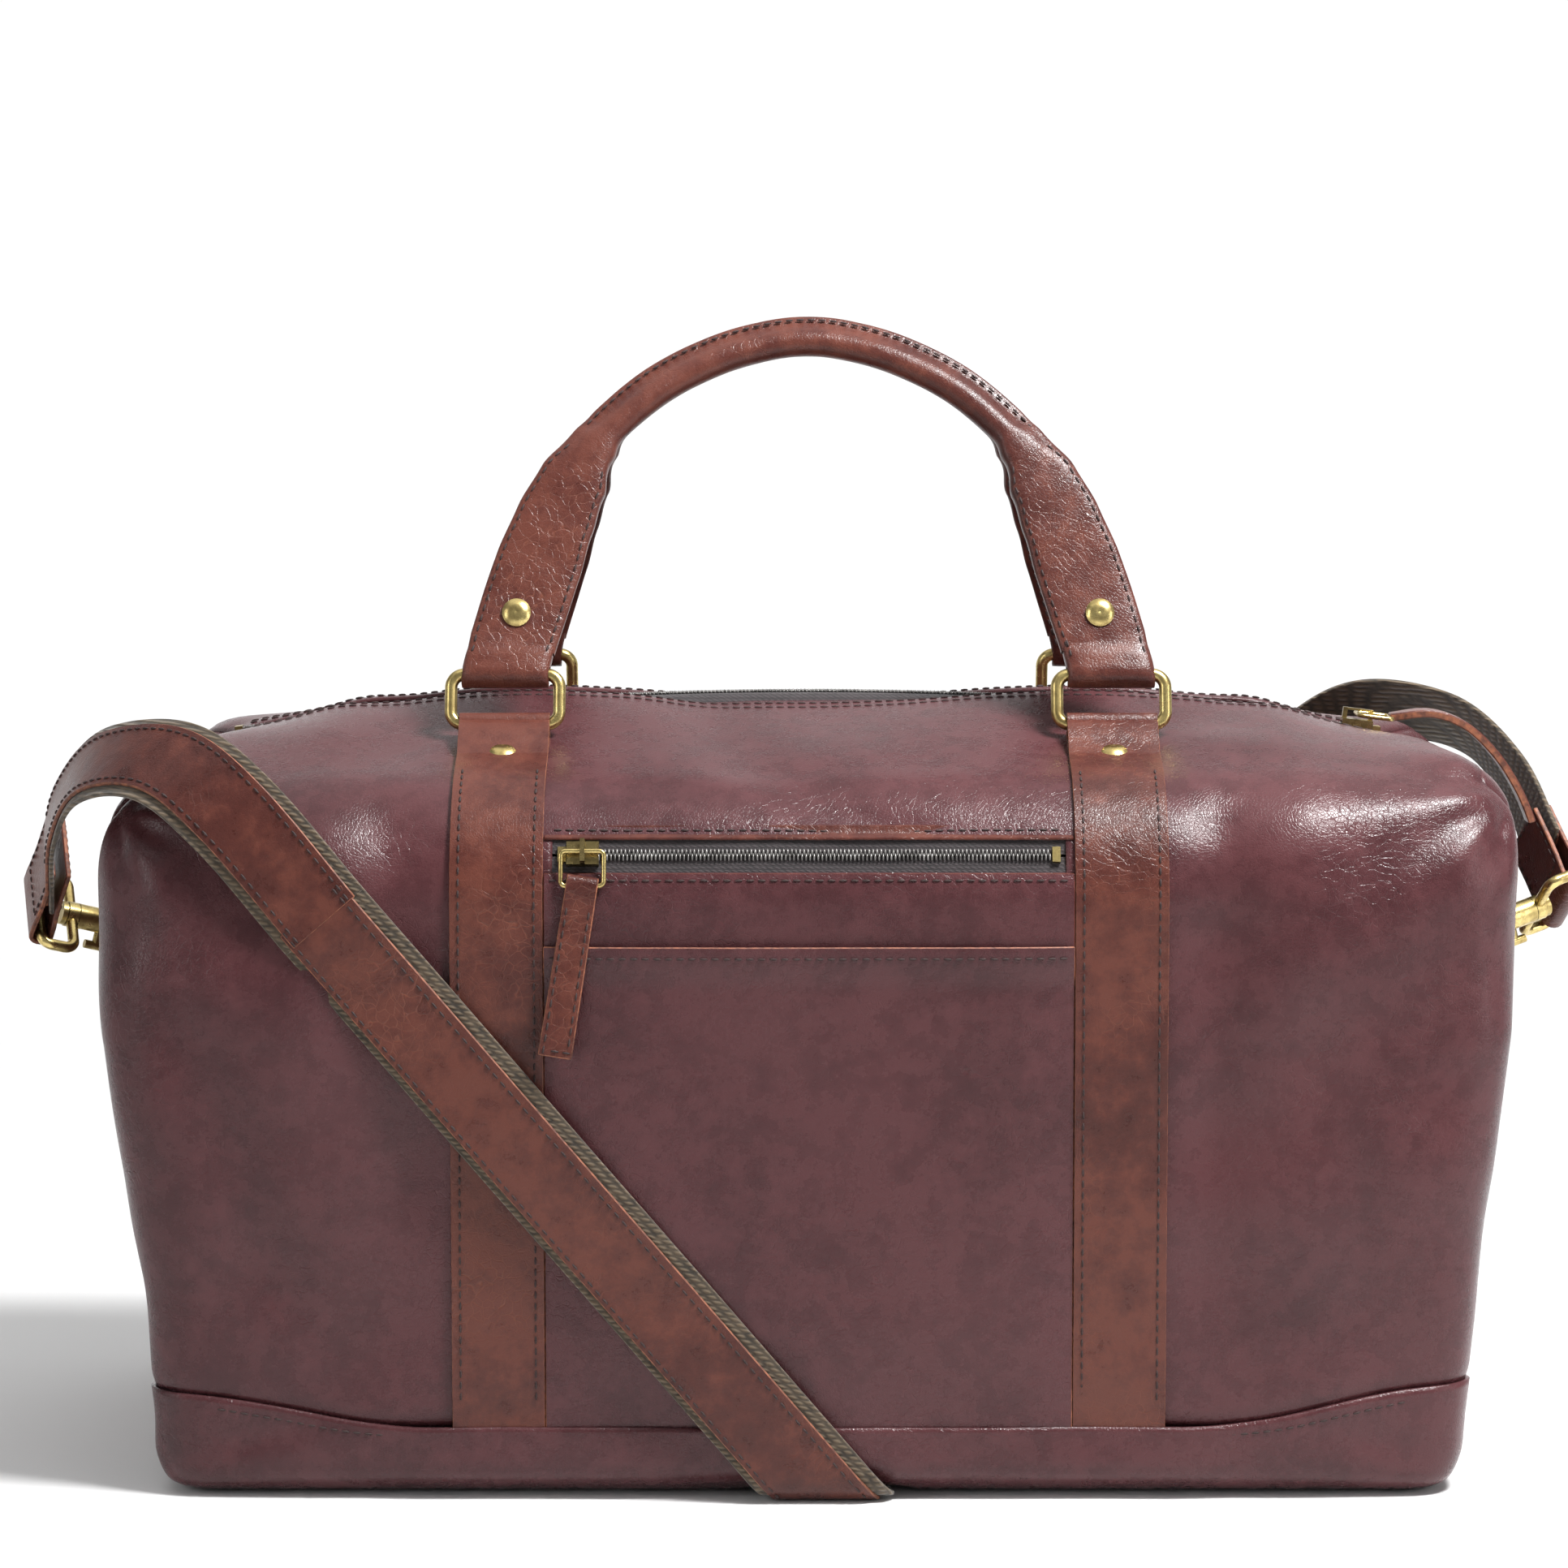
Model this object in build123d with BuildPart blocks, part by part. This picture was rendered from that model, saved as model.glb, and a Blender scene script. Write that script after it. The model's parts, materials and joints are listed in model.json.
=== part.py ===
from build123d import *
import math
import os

os.makedirs("parts", exist_ok=True)

# ---------------------------------------------------------------- bag body
base_length = 490.0          # along X at the foot
ear_length = 524.0           # along X at the top corners
depth = 250.0                # along Y
ridge_height = 296.0         # top of the body at its middle
crown_radius = 1700.0        # the top line arches along X
ridge_half_width = 12.0      # flat strip beside the zip
ridge_slope = 18.0           # degrees, from the zip down to the shoulder
shoulder_radius = 50.0
ear_radius = 26.0            # top corners in front view
foot_radius = 20.0           # bottom corners in front view
edge_radius = 16.0           # front and rear perimeter edges
wall = 3.0                   # leather with its backing
band_height = 29.0           # base band above the floor
gusset_width = 24.0          # how far each end panel wraps round to the front
tuck_start_height = 150.0    # the end gussets fold inwards above this height
tuck_depth = 22.0            # at the ear height
tuck_half_width = 28.0
slot_half_width = 7.5        # main zip opening in the leather
slot_reach = 228.0           # half the length of that opening
reach = 700.0                # longer than the bag, for cutting tools

# ---------------------------------------------------------------- inner pieces
board_thickness = 2.4
board_margin = 12.0
lining_thickness = 0.8
seat_clearance = 0.3
cut_clearance = 0.5

# ---------------------------------------------------------------- straps, rings and handles
strap_width = 34.5
strap_thickness = 2.2
strap_spacing = 232.0        # between the middles of the two straps
loop_play = 0.9              # between a ring's wire and the leather loop round it
loop_wall = 2.0
loop_reach = 58.0            # distance of the loop from the middle plane
ring_play = 2.2              # between a strap's edges and its ring
ring_height = 19.5
ring_corner = 5.0
ring_wire = 2.4
handle_lean = 17.5           # degrees from upright, towards the middle
handle_thickness = 4.8
neck_offset = 74.0           # X of the point where the flat end becomes the roll
neck_height = 103.0          # above the ring's upper bar, along the handle
grip_rise = 32.7             # of the rolled grip above its necks
grip_radius = 6.5
core_radius = 4.0
rivet_head_radius = 5.5
rivet_head_height = 1.5
rivet_shank_radius = 1.6
rivet_dome_radius = 3.9      # where the dome is rivet_dome_height high
rivet_dome_height = 1.1
strap_rivet_drop = 17.0      # from the loop down the slope
handle_rivet_height = 24.0
handle_rivet_inset = 4.0     # from the strap's middle towards the bag's middle
handle_swell = ((7.0, 37.0), (20.0, 72.0))    # outer edge's inward steps and heights up to the neck

# ---------------------------------------------------------------- front pockets
pocket_gap = 4.4
pocket_thickness = 1.5
pocket_drop = 14.0           # from the shoulder's start to the slip pocket's edge
facing_thickness = 1.2
welt_height = 5.0
pocket_zip_rise = 20.0       # from the shoulder's start to the zip
pocket_zip_opening = 13.5
pocket_zip_margin = 3.5      # from the pocket's side to the end of the opening
pocket_bag_thickness = 5.5
pocket_bag_bottom = 60.0
pocket_bag_wall = 0.6

# ---------------------------------------------------------------- zips
tape_thickness = 0.8
tape_gap = 0.45              # half the gap between the two tapes and coils
tape_width = 11.0            # outer edge from the zip's centre line
coil_reach = 2.9             # outer edge of a coil from the zip's centre line
coil_height = 2.2
slider_length = 12.0
slider_half_width = 4.4
slider_plate = 1.4
slider_clearance = 0.3
slider_web = 0.25            # half the thickness of the web between the coils
zip_end_gap = 2.0
stop_length = 3.0
pull_wire = 0.9
pull_width = 16.0
pull_link_length = 13.0
pull_corner = 1.8
pull_tab_width = 12.0
pull_tab_thickness = 2.4
pull_tab_fold = 2.0          # outer radius of the tab's fold round its link
pull_tab_bore = 1.1
main_tail_length = 72.0
pocket_tab_length = 68.0
pocket_tab_lift = 15.0       # degrees, so that the tab clears the pocket's edge

# ---------------------------------------------------------------- shoulder strap and its clips
webbing_width = 38.0
webbing_thickness = 1.8
overlay_width = 30.0
overlay_thickness = 1.6
strap_ear_inset = 66.7       # from the bag's end to the strap's middle where it leaves the front
front_run_rise = 13.0        # of that place above the start of the shoulder
under_fold = 20.0            # from the base's edge to where the folded strap is flat again
front_run_foot = 7.0         # X where the front run meets the floor
strap_air = 0.4
tab_width = 27.0
tab_bottom = 154.0
tab_top = 194.0
d_ring_play = 2.6            # between the tab's edges and its ring
d_ring_wire = 2.2
d_ring_bar = 2.4             # radius of its straight bar
d_ring_rise = 40.0           # degrees above the floor at rest
hook_rise = 15.0             # degrees above the floor at rest
hook_turn = 25.0             # degrees towards the front
claw_radius = 7.2
claw_wire = 2.3
claw_offset = 5.5            # ring centre above the barrel's axis
claw_start = -20.0           # degrees, where the open claw begins
claw_sweep = 252.0           # degrees
barrel_radius = 5.0
barrel_start = 6.5
barrel_length = 15.5
bolt_radius = 1.7
bolt_clearance = 0.3
bolt_tip = -2.0
bolt_travel = 6.0
knob_place = 12.0
knob_drop = 10.0
knob_length = 8.8            # of the crossbar that the thumb pulls
stud_radius = 2.2
stud_length = 5.0
stud_head_radius = 4.6
stud_head_height = 2.0
eye_width = 38.0             # on the wire's centre line
eye_reach = 13.5
eye_wire = 2.2
eye_corner = 4.4
chape_bore = 2.9
chape_tail = 30.0
eye_roll = 40.0              # degrees, the eye turns on the barrel towards the strap
chape_direction = (0.34, -0.65, 0.67)
# Stations of the strap over the ear, as steps from the ear's corner: inwards, to the rear and up.
ear_route = ((49, -2, -17), (22, 13, 1), (-8, 39, -3), (-26, 70, -24))
ear_widths = ((0.76, 0.15, 0.63), (0.60, 0.42, 0.68), (0.25, 0.68, 0.69), (0, 0.74, 0.67))

# ---------------------------------------------------------------- derived places
flare = (ear_length - base_length) / 2
crown_center = ridge_height - crown_radius
ear_height = math.sqrt(crown_radius**2 - (ear_length / 2) ** 2) + crown_center
slope = math.radians(ridge_slope)
shoulder_y = depth / 2 - shoulder_radius
slope_end_y = shoulder_y + shoulder_radius * math.sin(slope)
slope_end_z = ridge_height - (slope_end_y - ridge_half_width) * math.tan(slope)
shoulder_z = slope_end_z - shoulder_radius * math.cos(slope)
strap_x = strap_spacing / 2
pocket_half = strap_x - strap_width / 2
pocket_proud = pocket_gap + pocket_thickness
pocket_top = shoulder_z - pocket_drop
pocket_zip_height = shoulder_z + pocket_zip_rise
loop_bore = ring_wire + loop_play
loop_outer = loop_bore + loop_wall
tab_bore = d_ring_bar + loop_play
tab_outer = tab_bore + loop_wall
ring_length = strap_width + ring_play + 2 * ring_wire
d_ring_width = tab_width + d_ring_play + 2 * d_ring_wire
front_run_top = shoulder_z + front_run_rise
front_run_angle = math.atan((front_run_foot + ear_length / 2 - strap_ear_inset) / front_run_top)


def half_length(height):
    """Half of the bag's length at a height, before the gussets are tucked."""
    return base_length / 2 + flare * height / ear_height


def save(piece, label):
    """Writes a finished piece under its own name."""
    piece.part.label = label
    export_step(piece.part, f"parts/{label}.step")


def bag_form(inset):
    """The bag's outer form, drawn in by inset on every side."""
    with BuildPart() as form:
        with BuildSketch(Plane.XZ) as outline:
            with BuildLine():
                Polyline(
                    (-ear_length / 2, ear_height),
                    (-base_length / 2, 0),
                    (base_length / 2, 0),
                    (ear_length / 2, ear_height),
                )
                ThreePointArc((ear_length / 2, ear_height), (0, ridge_height), (-ear_length / 2, ear_height))
            make_face()
            fillet(outline.vertices().group_by(Axis.Y)[-1], ear_radius)
            fillet(outline.vertices().group_by(Axis.Y)[0], foot_radius)
            if inset:
                offset(amount=-inset, mode=Mode.REPLACE)
        extrude(amount=depth / 2 - inset, both=True)
        fillet(form.faces().filter_by(Axis.Y).edges(), edge_radius - inset)
        with BuildSketch(Plane.YZ):
            with BuildLine() as side:
                Polyline((0, -reach), (depth / 2, -reach), (depth / 2, shoulder_z))
                middle = math.radians(90 + ridge_slope) / 2
                ThreePointArc(
                    (depth / 2, shoulder_z),
                    (
                        shoulder_y + shoulder_radius * math.sin(middle),
                        shoulder_z + shoulder_radius * math.cos(middle),
                    ),
                    (slope_end_y, slope_end_z),
                )
                Polyline((slope_end_y, slope_end_z), (ridge_half_width, ridge_height), (0, ridge_height))
                mirror(about=Plane.YZ)
            make_face()
            if inset:
                offset(amount=-inset, mode=Mode.REPLACE, kind=Kind.INTERSECTION)
        extrude(amount=reach, both=True, mode=Mode.INTERSECT)
        for side_sign in (-1, 1):
            with BuildSketch(tuck_plane(side_sign)):
                Polygon(
                    (0, -tuck_half_width),
                    (depth, -tuck_half_width - depth),
                    (depth, tuck_half_width + depth),
                    (0, tuck_half_width),
                    align=None,
                )
                if inset:
                    offset(amount=inset, mode=Mode.REPLACE, kind=Kind.INTERSECTION)
            extrude(amount=reach, both=True, mode=Mode.SUBTRACT)
    return form.part


def tuck_plane(side_sign):
    """Plane across the folded-in part of an end gusset, with its x axis outwards."""
    low = half_length(tuck_start_height)
    high = half_length(ear_height) - tuck_depth
    along = Vector(side_sign * (high - low), 0, ear_height - tuck_start_height).normalized()
    outward = Vector(side_sign * along.Z, 0, -side_sign * along.X)
    return Plane(origin=(side_sign * low, 0, tuck_start_height), x_dir=outward, z_dir=along)


def slab(x_low, x_high, y_low, y_high, z_low, z_high, mode=Mode.ADD):
    """A box given by its corners."""
    with Locations(((x_low + x_high) / 2, (y_low + y_high) / 2, (z_low + z_high) / 2)):
        Box(x_high - x_low, y_high - y_low, z_high - z_low, mode=mode)


def skin(outer_inset, inner_inset):
    """The layer between two insets of the bag's form."""
    with BuildPart() as layer:
        add(bag_form(outer_inset))
        add(bag_form(inner_inset), mode=Mode.SUBTRACT)
    return layer.part


def between_gussets(front_limit, rear_limit, mode):
    """The bag's middle stretch above the band, leaning outwards with the end panels."""
    low = half_length(0) - gusset_width
    high = half_length(ridge_height) - gusset_width
    with BuildSketch(Plane.XZ.offset(-rear_limit)) as stretch:
        Polygon((-low, 0), (low, 0), (high, ridge_height), (-high, ridge_height), align=None)
    extrude(stretch.sketch, amount=rear_limit - front_limit, mode=mode)


def zip_bar(low_radius, high_radius, start_x, end_x, y_low, y_high):
    """A bar along the main zip's arc, between two X places."""
    start = math.asin(start_x / crown_radius)
    end = math.asin(end_x / crown_radius)
    middle = (start + end) / 2

    def place(radius, angle):
        return (radius * math.sin(angle), crown_center + radius * math.cos(angle))

    with BuildSketch(Plane.XZ.offset(-y_high)) as sector:
        with BuildLine():
            ThreePointArc(place(low_radius, start), place(low_radius, middle), place(low_radius, end))
            Line(place(low_radius, end), place(high_radius, end))
            ThreePointArc(place(high_radius, end), place(high_radius, middle), place(high_radius, start))
            Line(place(high_radius, start), place(low_radius, start))
        make_face()
    extrude(sector.sketch, amount=y_high - y_low)


shell = skin(0, wall)

# ================================================================ leather panels
# The shoulder strap passes under the base, in a groove whose roof stands up inside the tray.
strap_stack = webbing_thickness + overlay_thickness
groove_depth = strap_stack + strap_air
front_run_cosine = math.cos(front_run_angle)
run_tangent = math.tan(front_run_angle)
strap_inner_y = depth / 2 + pocket_proud + strap_air


def under_run(plane, width, clearance, end_y, height, mode=Mode.ADD):
    """The strap's run under the base: it widens to the slanting runs' width at both ends."""
    half = width / 2 + clearance
    wide = width / 2 / front_run_cosine + clearance
    skew = front_run_foot / (depth / 2)
    fold_y = depth / 2 - under_fold
    corners = ((-end_y, wide), (-fold_y, half), (fold_y, half), (end_y, wide))
    left_side = [(-place * skew - reach_x, place) for place, reach_x in corners]
    right_side = [(-place * skew + reach_x, place) for place, reach_x in reversed(corners)]
    with BuildSketch(plane) as outline:
        Polygon(*left_side, *right_side, align=None)
    extrude(outline.sketch, amount=height, mode=mode)


with BuildPart() as base_panel:
    add(shell)
    slab(-reach, reach, -reach, reach, 0, band_height, mode=Mode.INTERSECT)
    under_run(Plane.XY.offset(wall), webbing_width, wall, depth / 2 - wall, groove_depth)
    under_run(Plane.XY, webbing_width, cut_clearance, strap_inner_y, groove_depth, mode=Mode.SUBTRACT)
save(base_panel, "base_panel")

with BuildPart() as plain_panel:
    add(shell)
    between_gussets(-reach, 0, Mode.INTERSECT)
    slab(-reach, reach, -reach, reach, 0, band_height, mode=Mode.SUBTRACT)
    slab(-slot_reach, slot_reach, -slot_half_width, slot_half_width, depth / 2, reach, mode=Mode.SUBTRACT)

with BuildPart() as rear_panel:
    mirror(plain_panel.part, about=Plane.XZ)
save(rear_panel, "rear_panel")

for side_name, side_sign in (("left", -1), ("right", 1)):
    with BuildPart() as end_panel:
        add(shell)
        between_gussets(-reach, reach, Mode.SUBTRACT)
        slab(-reach, reach, -reach, reach, 0, band_height, mode=Mode.SUBTRACT)
        slab(*sorted((0, side_sign * reach)), -reach, reach, 0, reach, mode=Mode.INTERSECT)
    save(end_panel, f"{side_name}_end_panel")

# ================================================================ inner pieces
board_height = wall + groove_depth + seat_clearance
board_length = base_length - 2 * (wall + board_margin)
board_width = depth - 2 * (wall + board_margin)
with BuildPart() as base_board:
    with BuildSketch(Plane.XY.offset(board_height)):
        RectangleRounded(board_length, board_width, foot_radius)
    extrude(amount=board_thickness)
save(base_board, "base_board")

lining_inset = board_height + board_thickness + seat_clearance
with BuildPart() as cabin_lining:
    add(skin(lining_inset, lining_inset + lining_thickness))
    slab(-slot_reach, slot_reach, -tape_width, tape_width, depth / 2, reach, mode=Mode.SUBTRACT)
save(cabin_lining, "cabin_lining")

# ================================================================ front pockets
pocket_zip_angle = math.asin((pocket_zip_height - shoulder_z) / shoulder_radius)
pocket_zip_plane = Plane(
    origin=(0, -shoulder_y - shoulder_radius * math.cos(pocket_zip_angle), pocket_zip_height),
    x_dir=(1, 0, 0),
    z_dir=(0, -math.cos(pocket_zip_angle), math.sin(pocket_zip_angle)),
)
opening_half = pocket_half - pocket_zip_margin


def local_slab(plane, x_low, x_high, y_low, y_high, z_low, z_high, mode=Mode.ADD):
    """A box given by its corners in a plane's own axes."""
    with BuildSketch(plane.offset(z_low)) as section:
        with Locations(((x_low + x_high) / 2, (y_low + y_high) / 2)):
            Rectangle(x_high - x_low, y_high - y_low)
    extrude(section.sketch, amount=z_high - z_low, mode=mode)


with BuildPart() as front_panel:
    add(plain_panel.part)
    local_slab(
        pocket_zip_plane, -opening_half, opening_half, -pocket_zip_opening / 2, pocket_zip_opening / 2,
        -shoulder_radius / 2, shoulder_radius / 2, mode=Mode.SUBTRACT,
    )
save(front_panel, "front_panel")

with BuildPart() as pocket_panel:
    add(skin(-pocket_proud, 0))
    slab(-pocket_half, pocket_half, -depth, 0, band_height, pocket_top, mode=Mode.INTERSECT)
    slab(
        -pocket_half + pocket_thickness, pocket_half - pocket_thickness,
        -depth / 2 - pocket_gap, 0, band_height + pocket_thickness, reach, mode=Mode.SUBTRACT,
    )
save(pocket_panel, "front_pocket_panel")

facing_top = pocket_zip_height - pocket_zip_opening / 2 * math.cos(pocket_zip_angle) - cut_clearance
with BuildPart() as pocket_facing:
    add(skin(-facing_thickness, 0))
    slab(-pocket_half, pocket_half, -depth, 0, pocket_top, facing_top, mode=Mode.INTERSECT)
save(pocket_facing, "front_pocket_facing")

welt_bottom = pocket_zip_height + pocket_zip_opening / 2 * math.cos(pocket_zip_angle) + cut_clearance
with BuildPart() as pocket_welt:
    add(skin(-facing_thickness, 0))
    slab(-pocket_half, pocket_half, -depth, 0, welt_bottom, welt_bottom + welt_height, mode=Mode.INTERSECT)
save(pocket_welt, "front_pocket_welt")

bag_front = -depth / 2 + wall + seat_clearance
with BuildPart() as pocket_bag:
    slab(
        -opening_half, opening_half, bag_front, bag_front + pocket_bag_thickness,
        pocket_bag_bottom, shoulder_z,
    )
    slab(
        -opening_half + pocket_bag_wall, opening_half - pocket_bag_wall,
        bag_front + pocket_bag_wall, bag_front + pocket_bag_thickness - pocket_bag_wall,
        pocket_bag_bottom + pocket_bag_wall, reach, mode=Mode.SUBTRACT,
    )
save(pocket_bag, "front_pocket_bag")

# ---------------------------------------------------------------- pocket zip
tape_top = -wall / 2
coil_half = opening_half - zip_end_gap - stop_length
for tape_name, tape_sign in (("lower", -1), ("upper", 1)):
    inner_edge = tape_sign * tape_gap
    outer_edge = tape_sign * pocket_zip_opening / 2
    coil_edge = tape_sign * coil_reach
    with BuildPart() as pocket_tape:
        local_slab(
            pocket_zip_plane, -opening_half, opening_half, *sorted((inner_edge, outer_edge)),
            tape_top - tape_thickness, tape_top,
        )
    save(pocket_tape, f"pocket_zip_tape_{tape_name}")
    with BuildPart() as pocket_coil:
        local_slab(
            pocket_zip_plane, -coil_half, coil_half, *sorted((inner_edge, coil_edge)),
            tape_top, tape_top + coil_height,
        )
    save(pocket_coil, f"pocket_zip_coil_{tape_name}")

with BuildPart() as pocket_stops:
    for end_sign in (-1, 1):
        stop_middle = end_sign * (opening_half - zip_end_gap - stop_length / 2)
        local_slab(
            pocket_zip_plane, stop_middle - stop_length / 2, stop_middle + stop_length / 2,
            -coil_reach, coil_reach, tape_top, tape_top + coil_height,
        )
save(pocket_stops, "pocket_zip_stops")

slider_rest = -coil_half + slider_length / 2 + slider_clearance
bail_height = tape_top + coil_height + slider_clearance + slider_plate + 2 * pull_wire + slider_clearance


def slider_body(plane, middle, bail_along, bail_across):
    """A zip slider: a plate over the coils, one under the tapes, a web between them, and a bail on top."""
    under_top = tape_top - tape_thickness - slider_clearance
    plate_low = tape_top + coil_height + slider_clearance
    low = middle - slider_length / 2
    high = middle + slider_length / 2
    half = slider_half_width
    local_slab(plane, low, high, -half, half, plate_low, plate_low + slider_plate)
    local_slab(plane, low, high, -half, half, under_top - slider_plate, under_top)
    local_slab(plane, low, high, -slider_web, slider_web, under_top, plate_low)
    for flange_sign in (-1, 1):
        flange = sorted((flange_sign * (coil_reach + slider_clearance), flange_sign * half))
        local_slab(plane, low, high, *flange, tape_top + slider_clearance, plate_low)
    # The bail is an arch over the plate, which the pull's wire passes under.
    bail_top = bail_height + pull_wire + slider_clearance
    local_slab(
        plane, middle - bail_along, middle + bail_along, -bail_across, bail_across,
        plate_low + slider_plate, bail_top + pull_wire,
    )
    along_x = bail_along > bail_across
    window_x = bail_along - 2 * pull_wire if along_x else reach
    window_y = reach if along_x else bail_across - 2 * pull_wire
    local_slab(
        plane, middle - window_x, middle + window_x, -window_y, window_y,
        plate_low + slider_plate, bail_top, mode=Mode.SUBTRACT,
    )


with BuildPart() as pocket_slider:
    slider_body(pocket_zip_plane, slider_rest, pull_wire, slider_half_width)
save(pocket_slider, "pocket_zip_slider")

# The pull hangs from the bail: a wire link, then a stitched leather tab.
pocket_pull_pivot = pocket_zip_plane.from_local_coords((slider_rest, 0, bail_height))


def pull_link(plane, length):
    """A closed wire link in a plane whose x axis is the pivot and whose y axis points away from the pull."""
    with BuildLine(plane) as route:
        FilletPolyline(
            (pull_width / 2, 0), (pull_width / 2, -length), (-pull_width / 2, -length), (-pull_width / 2, 0),
            radius=pull_corner, close=True,
        )
    with BuildSketch(Plane(origin=route.line @ 0, z_dir=route.line % 0)) as wire:
        Circle(pull_wire)
    sweep(wire.sketch, path=route.line)


def pull_tab(plane, length, start):
    """A leather tab folded round the link's far bar."""
    with BuildSketch(plane.offset(-pull_tab_thickness / 2)) as outline:
        with Locations((0, -start - length / 2)):
            Rectangle(pull_tab_width, length)
    extrude(outline.sketch, amount=pull_tab_thickness)
    with Locations(Location(plane.from_local_coords((0, -start, 0)), plane.location.orientation)):
        Cylinder(pull_tab_fold, pull_tab_width, rotation=(0, 90, 0))
        Cylinder(pull_tab_bore, 2 * pull_width, rotation=(0, 90, 0), mode=Mode.SUBTRACT)


lift = math.radians(pocket_tab_lift)
pocket_pull_plane = Plane(
    origin=pocket_pull_pivot,
    x_dir=(1, 0, 0),
    z_dir=(0, -math.cos(lift), math.sin(lift)),
)
with BuildPart() as pocket_pull:
    pull_link(pocket_pull_plane, pull_link_length)
save(pocket_pull, "pocket_pull_link")
with BuildPart() as pocket_tab:
    pull_tab(pocket_pull_plane, pocket_tab_length, pull_link_length)
save(pocket_tab, "pocket_pull_tab")

# ================================================================ main zip
zip_skin = crown_radius - wall
zip_reach = slot_reach - zip_end_gap
coil_limit = zip_reach - stop_length
for side_name, low_y, high_y, coil_low, coil_high in (
    ("front", -tape_width, -tape_gap, -coil_reach, -tape_gap),
    ("rear", tape_gap, tape_width, tape_gap, coil_reach),
):
    with BuildPart() as main_tape:
        zip_bar(zip_skin - tape_thickness, zip_skin, -slot_reach, slot_reach, low_y, high_y)
    save(main_tape, f"main_zip_tape_{side_name}")
    with BuildPart() as main_coil:
        zip_bar(zip_skin, zip_skin + coil_height, -coil_limit, coil_limit, coil_low, coil_high)
    save(main_coil, f"main_zip_coil_{side_name}")

with BuildPart() as main_stops:
    for end_sign in (-1, 1):
        stop_ends = sorted((end_sign * coil_limit, end_sign * zip_reach))
        zip_bar(zip_skin, zip_skin + coil_height, *stop_ends, -coil_reach, coil_reach)
save(main_stops, "main_zip_stops")

# The main slider stands in a plane square to the arc, closed at the right end.
main_slider_angle = math.asin((coil_limit - slider_length / 2 - slider_clearance) / crown_radius)
main_zip_plane = Plane(
    origin=(
        (zip_skin - tape_top) * math.sin(main_slider_angle),
        0,
        crown_center + (zip_skin - tape_top) * math.cos(main_slider_angle),
    ),
    x_dir=(math.cos(main_slider_angle), 0, -math.sin(main_slider_angle)),
    z_dir=(math.sin(main_slider_angle), 0, math.cos(main_slider_angle)),
)
with BuildPart() as main_slider:
    slider_body(main_zip_plane, 0, slider_length / 2, pull_wire)
save(main_slider, "main_zip_slider")

main_pull_pivot = main_zip_plane.from_local_coords((0, 0, bail_height))
main_pull_plane = Plane(
    origin=main_pull_pivot,
    x_dir=(0, 1, 0),
    z_dir=(math.sin(main_slider_angle), 0, math.cos(main_slider_angle)),
)
with BuildPart() as main_pull:
    pull_link(main_pull_plane, pull_link_length)
save(main_pull, "main_pull_link")
with BuildPart() as main_tail:
    pull_tab(main_pull_plane, main_tail_length, pull_link_length)
save(main_tail, "main_pull_tail")

# ================================================================ handle straps and their rivets
loop_surface_z = ridge_height - (loop_reach - ridge_half_width) * math.tan(slope)
loop_y = -loop_reach - loop_outer * math.sin(slope)
loop_z = loop_surface_z + loop_outer * math.cos(slope)


def across(point, radius, length, mode=Mode.ADD):
    """A cylinder along X about a point."""
    with Locations(point):
        Cylinder(radius, length, rotation=(0, 90, 0), mode=mode)


def rivet(plane, shank_length):
    """A domed rivet whose head stands on a plane."""
    with BuildSketch(Plane(origin=plane.origin, x_dir=plane.x_dir, z_dir=-plane.y_dir)) as half_section:
        with BuildLine():
            Line((0, -shank_length), (0, rivet_head_height))
            ThreePointArc(
                (0, rivet_head_height),
                (rivet_dome_radius, rivet_dome_height),
                (rivet_head_radius, 0),
            )
            Polyline(
                (rivet_head_radius, 0), (rivet_shank_radius, 0),
                (rivet_shank_radius, -shank_length), (0, -shank_length),
            )
        make_face()
    revolve(half_section.sketch, axis=Axis(plane.origin, plane.z_dir))


slope_normal = Vector(0, -math.sin(slope), math.cos(slope))
slope_down = Vector(0, -math.cos(slope), -math.sin(slope))


def strap_rivet_plane(x_place):
    """Plane on a strap's outer face, below its ring loop."""
    surface = Vector(x_place, -loop_reach, loop_surface_z)
    origin = surface + slope_down * strap_rivet_drop + slope_normal * strap_thickness
    return Plane(origin=origin, x_dir=(1, 0, 0), z_dir=slope_normal)


strap_skin = skin(-strap_thickness, 0)
for side_name, side_sign in (("left", -1), ("right", 1)):
    middle_x = side_sign * strap_x
    with BuildPart() as front_strap:
        add(strap_skin)
        slab(
            middle_x - strap_width / 2, middle_x + strap_width / 2,
            -depth, -loop_reach, band_height, reach, mode=Mode.INTERSECT,
        )
        across((middle_x, loop_y, loop_z), loop_outer, strap_width)
        across((middle_x, loop_y, loop_z), loop_bore, 2 * strap_width, mode=Mode.SUBTRACT)
        with Locations(strap_rivet_plane(middle_x)):
            Cylinder(rivet_shank_radius, 2 * strap_thickness, mode=Mode.SUBTRACT)
    save(front_strap, f"front_strap_{side_name}")
    with BuildPart() as rear_strap:
        mirror(front_strap.part, about=Plane.XZ)
    save(rear_strap, f"rear_strap_{side_name}")

with BuildPart() as strap_rivets:
    for middle_x in (-strap_x, strap_x):
        rivet(strap_rivet_plane(middle_x), strap_thickness)
    mirror(about=Plane.XZ)
save(strap_rivets, "strap_rivets")

# ================================================================ rings and handles
lean = math.radians(handle_lean)
handle_up = Vector(0, math.sin(lean), math.cos(lean))
handle_out = Vector(0, -math.cos(lean), math.sin(lean))
lower_bar = Vector(0, loop_y, loop_z)
upper_bar = lower_bar + handle_up * ring_height
handle_plane = Plane(origin=upper_bar, x_dir=(1, 0, 0), z_dir=handle_out)

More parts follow.
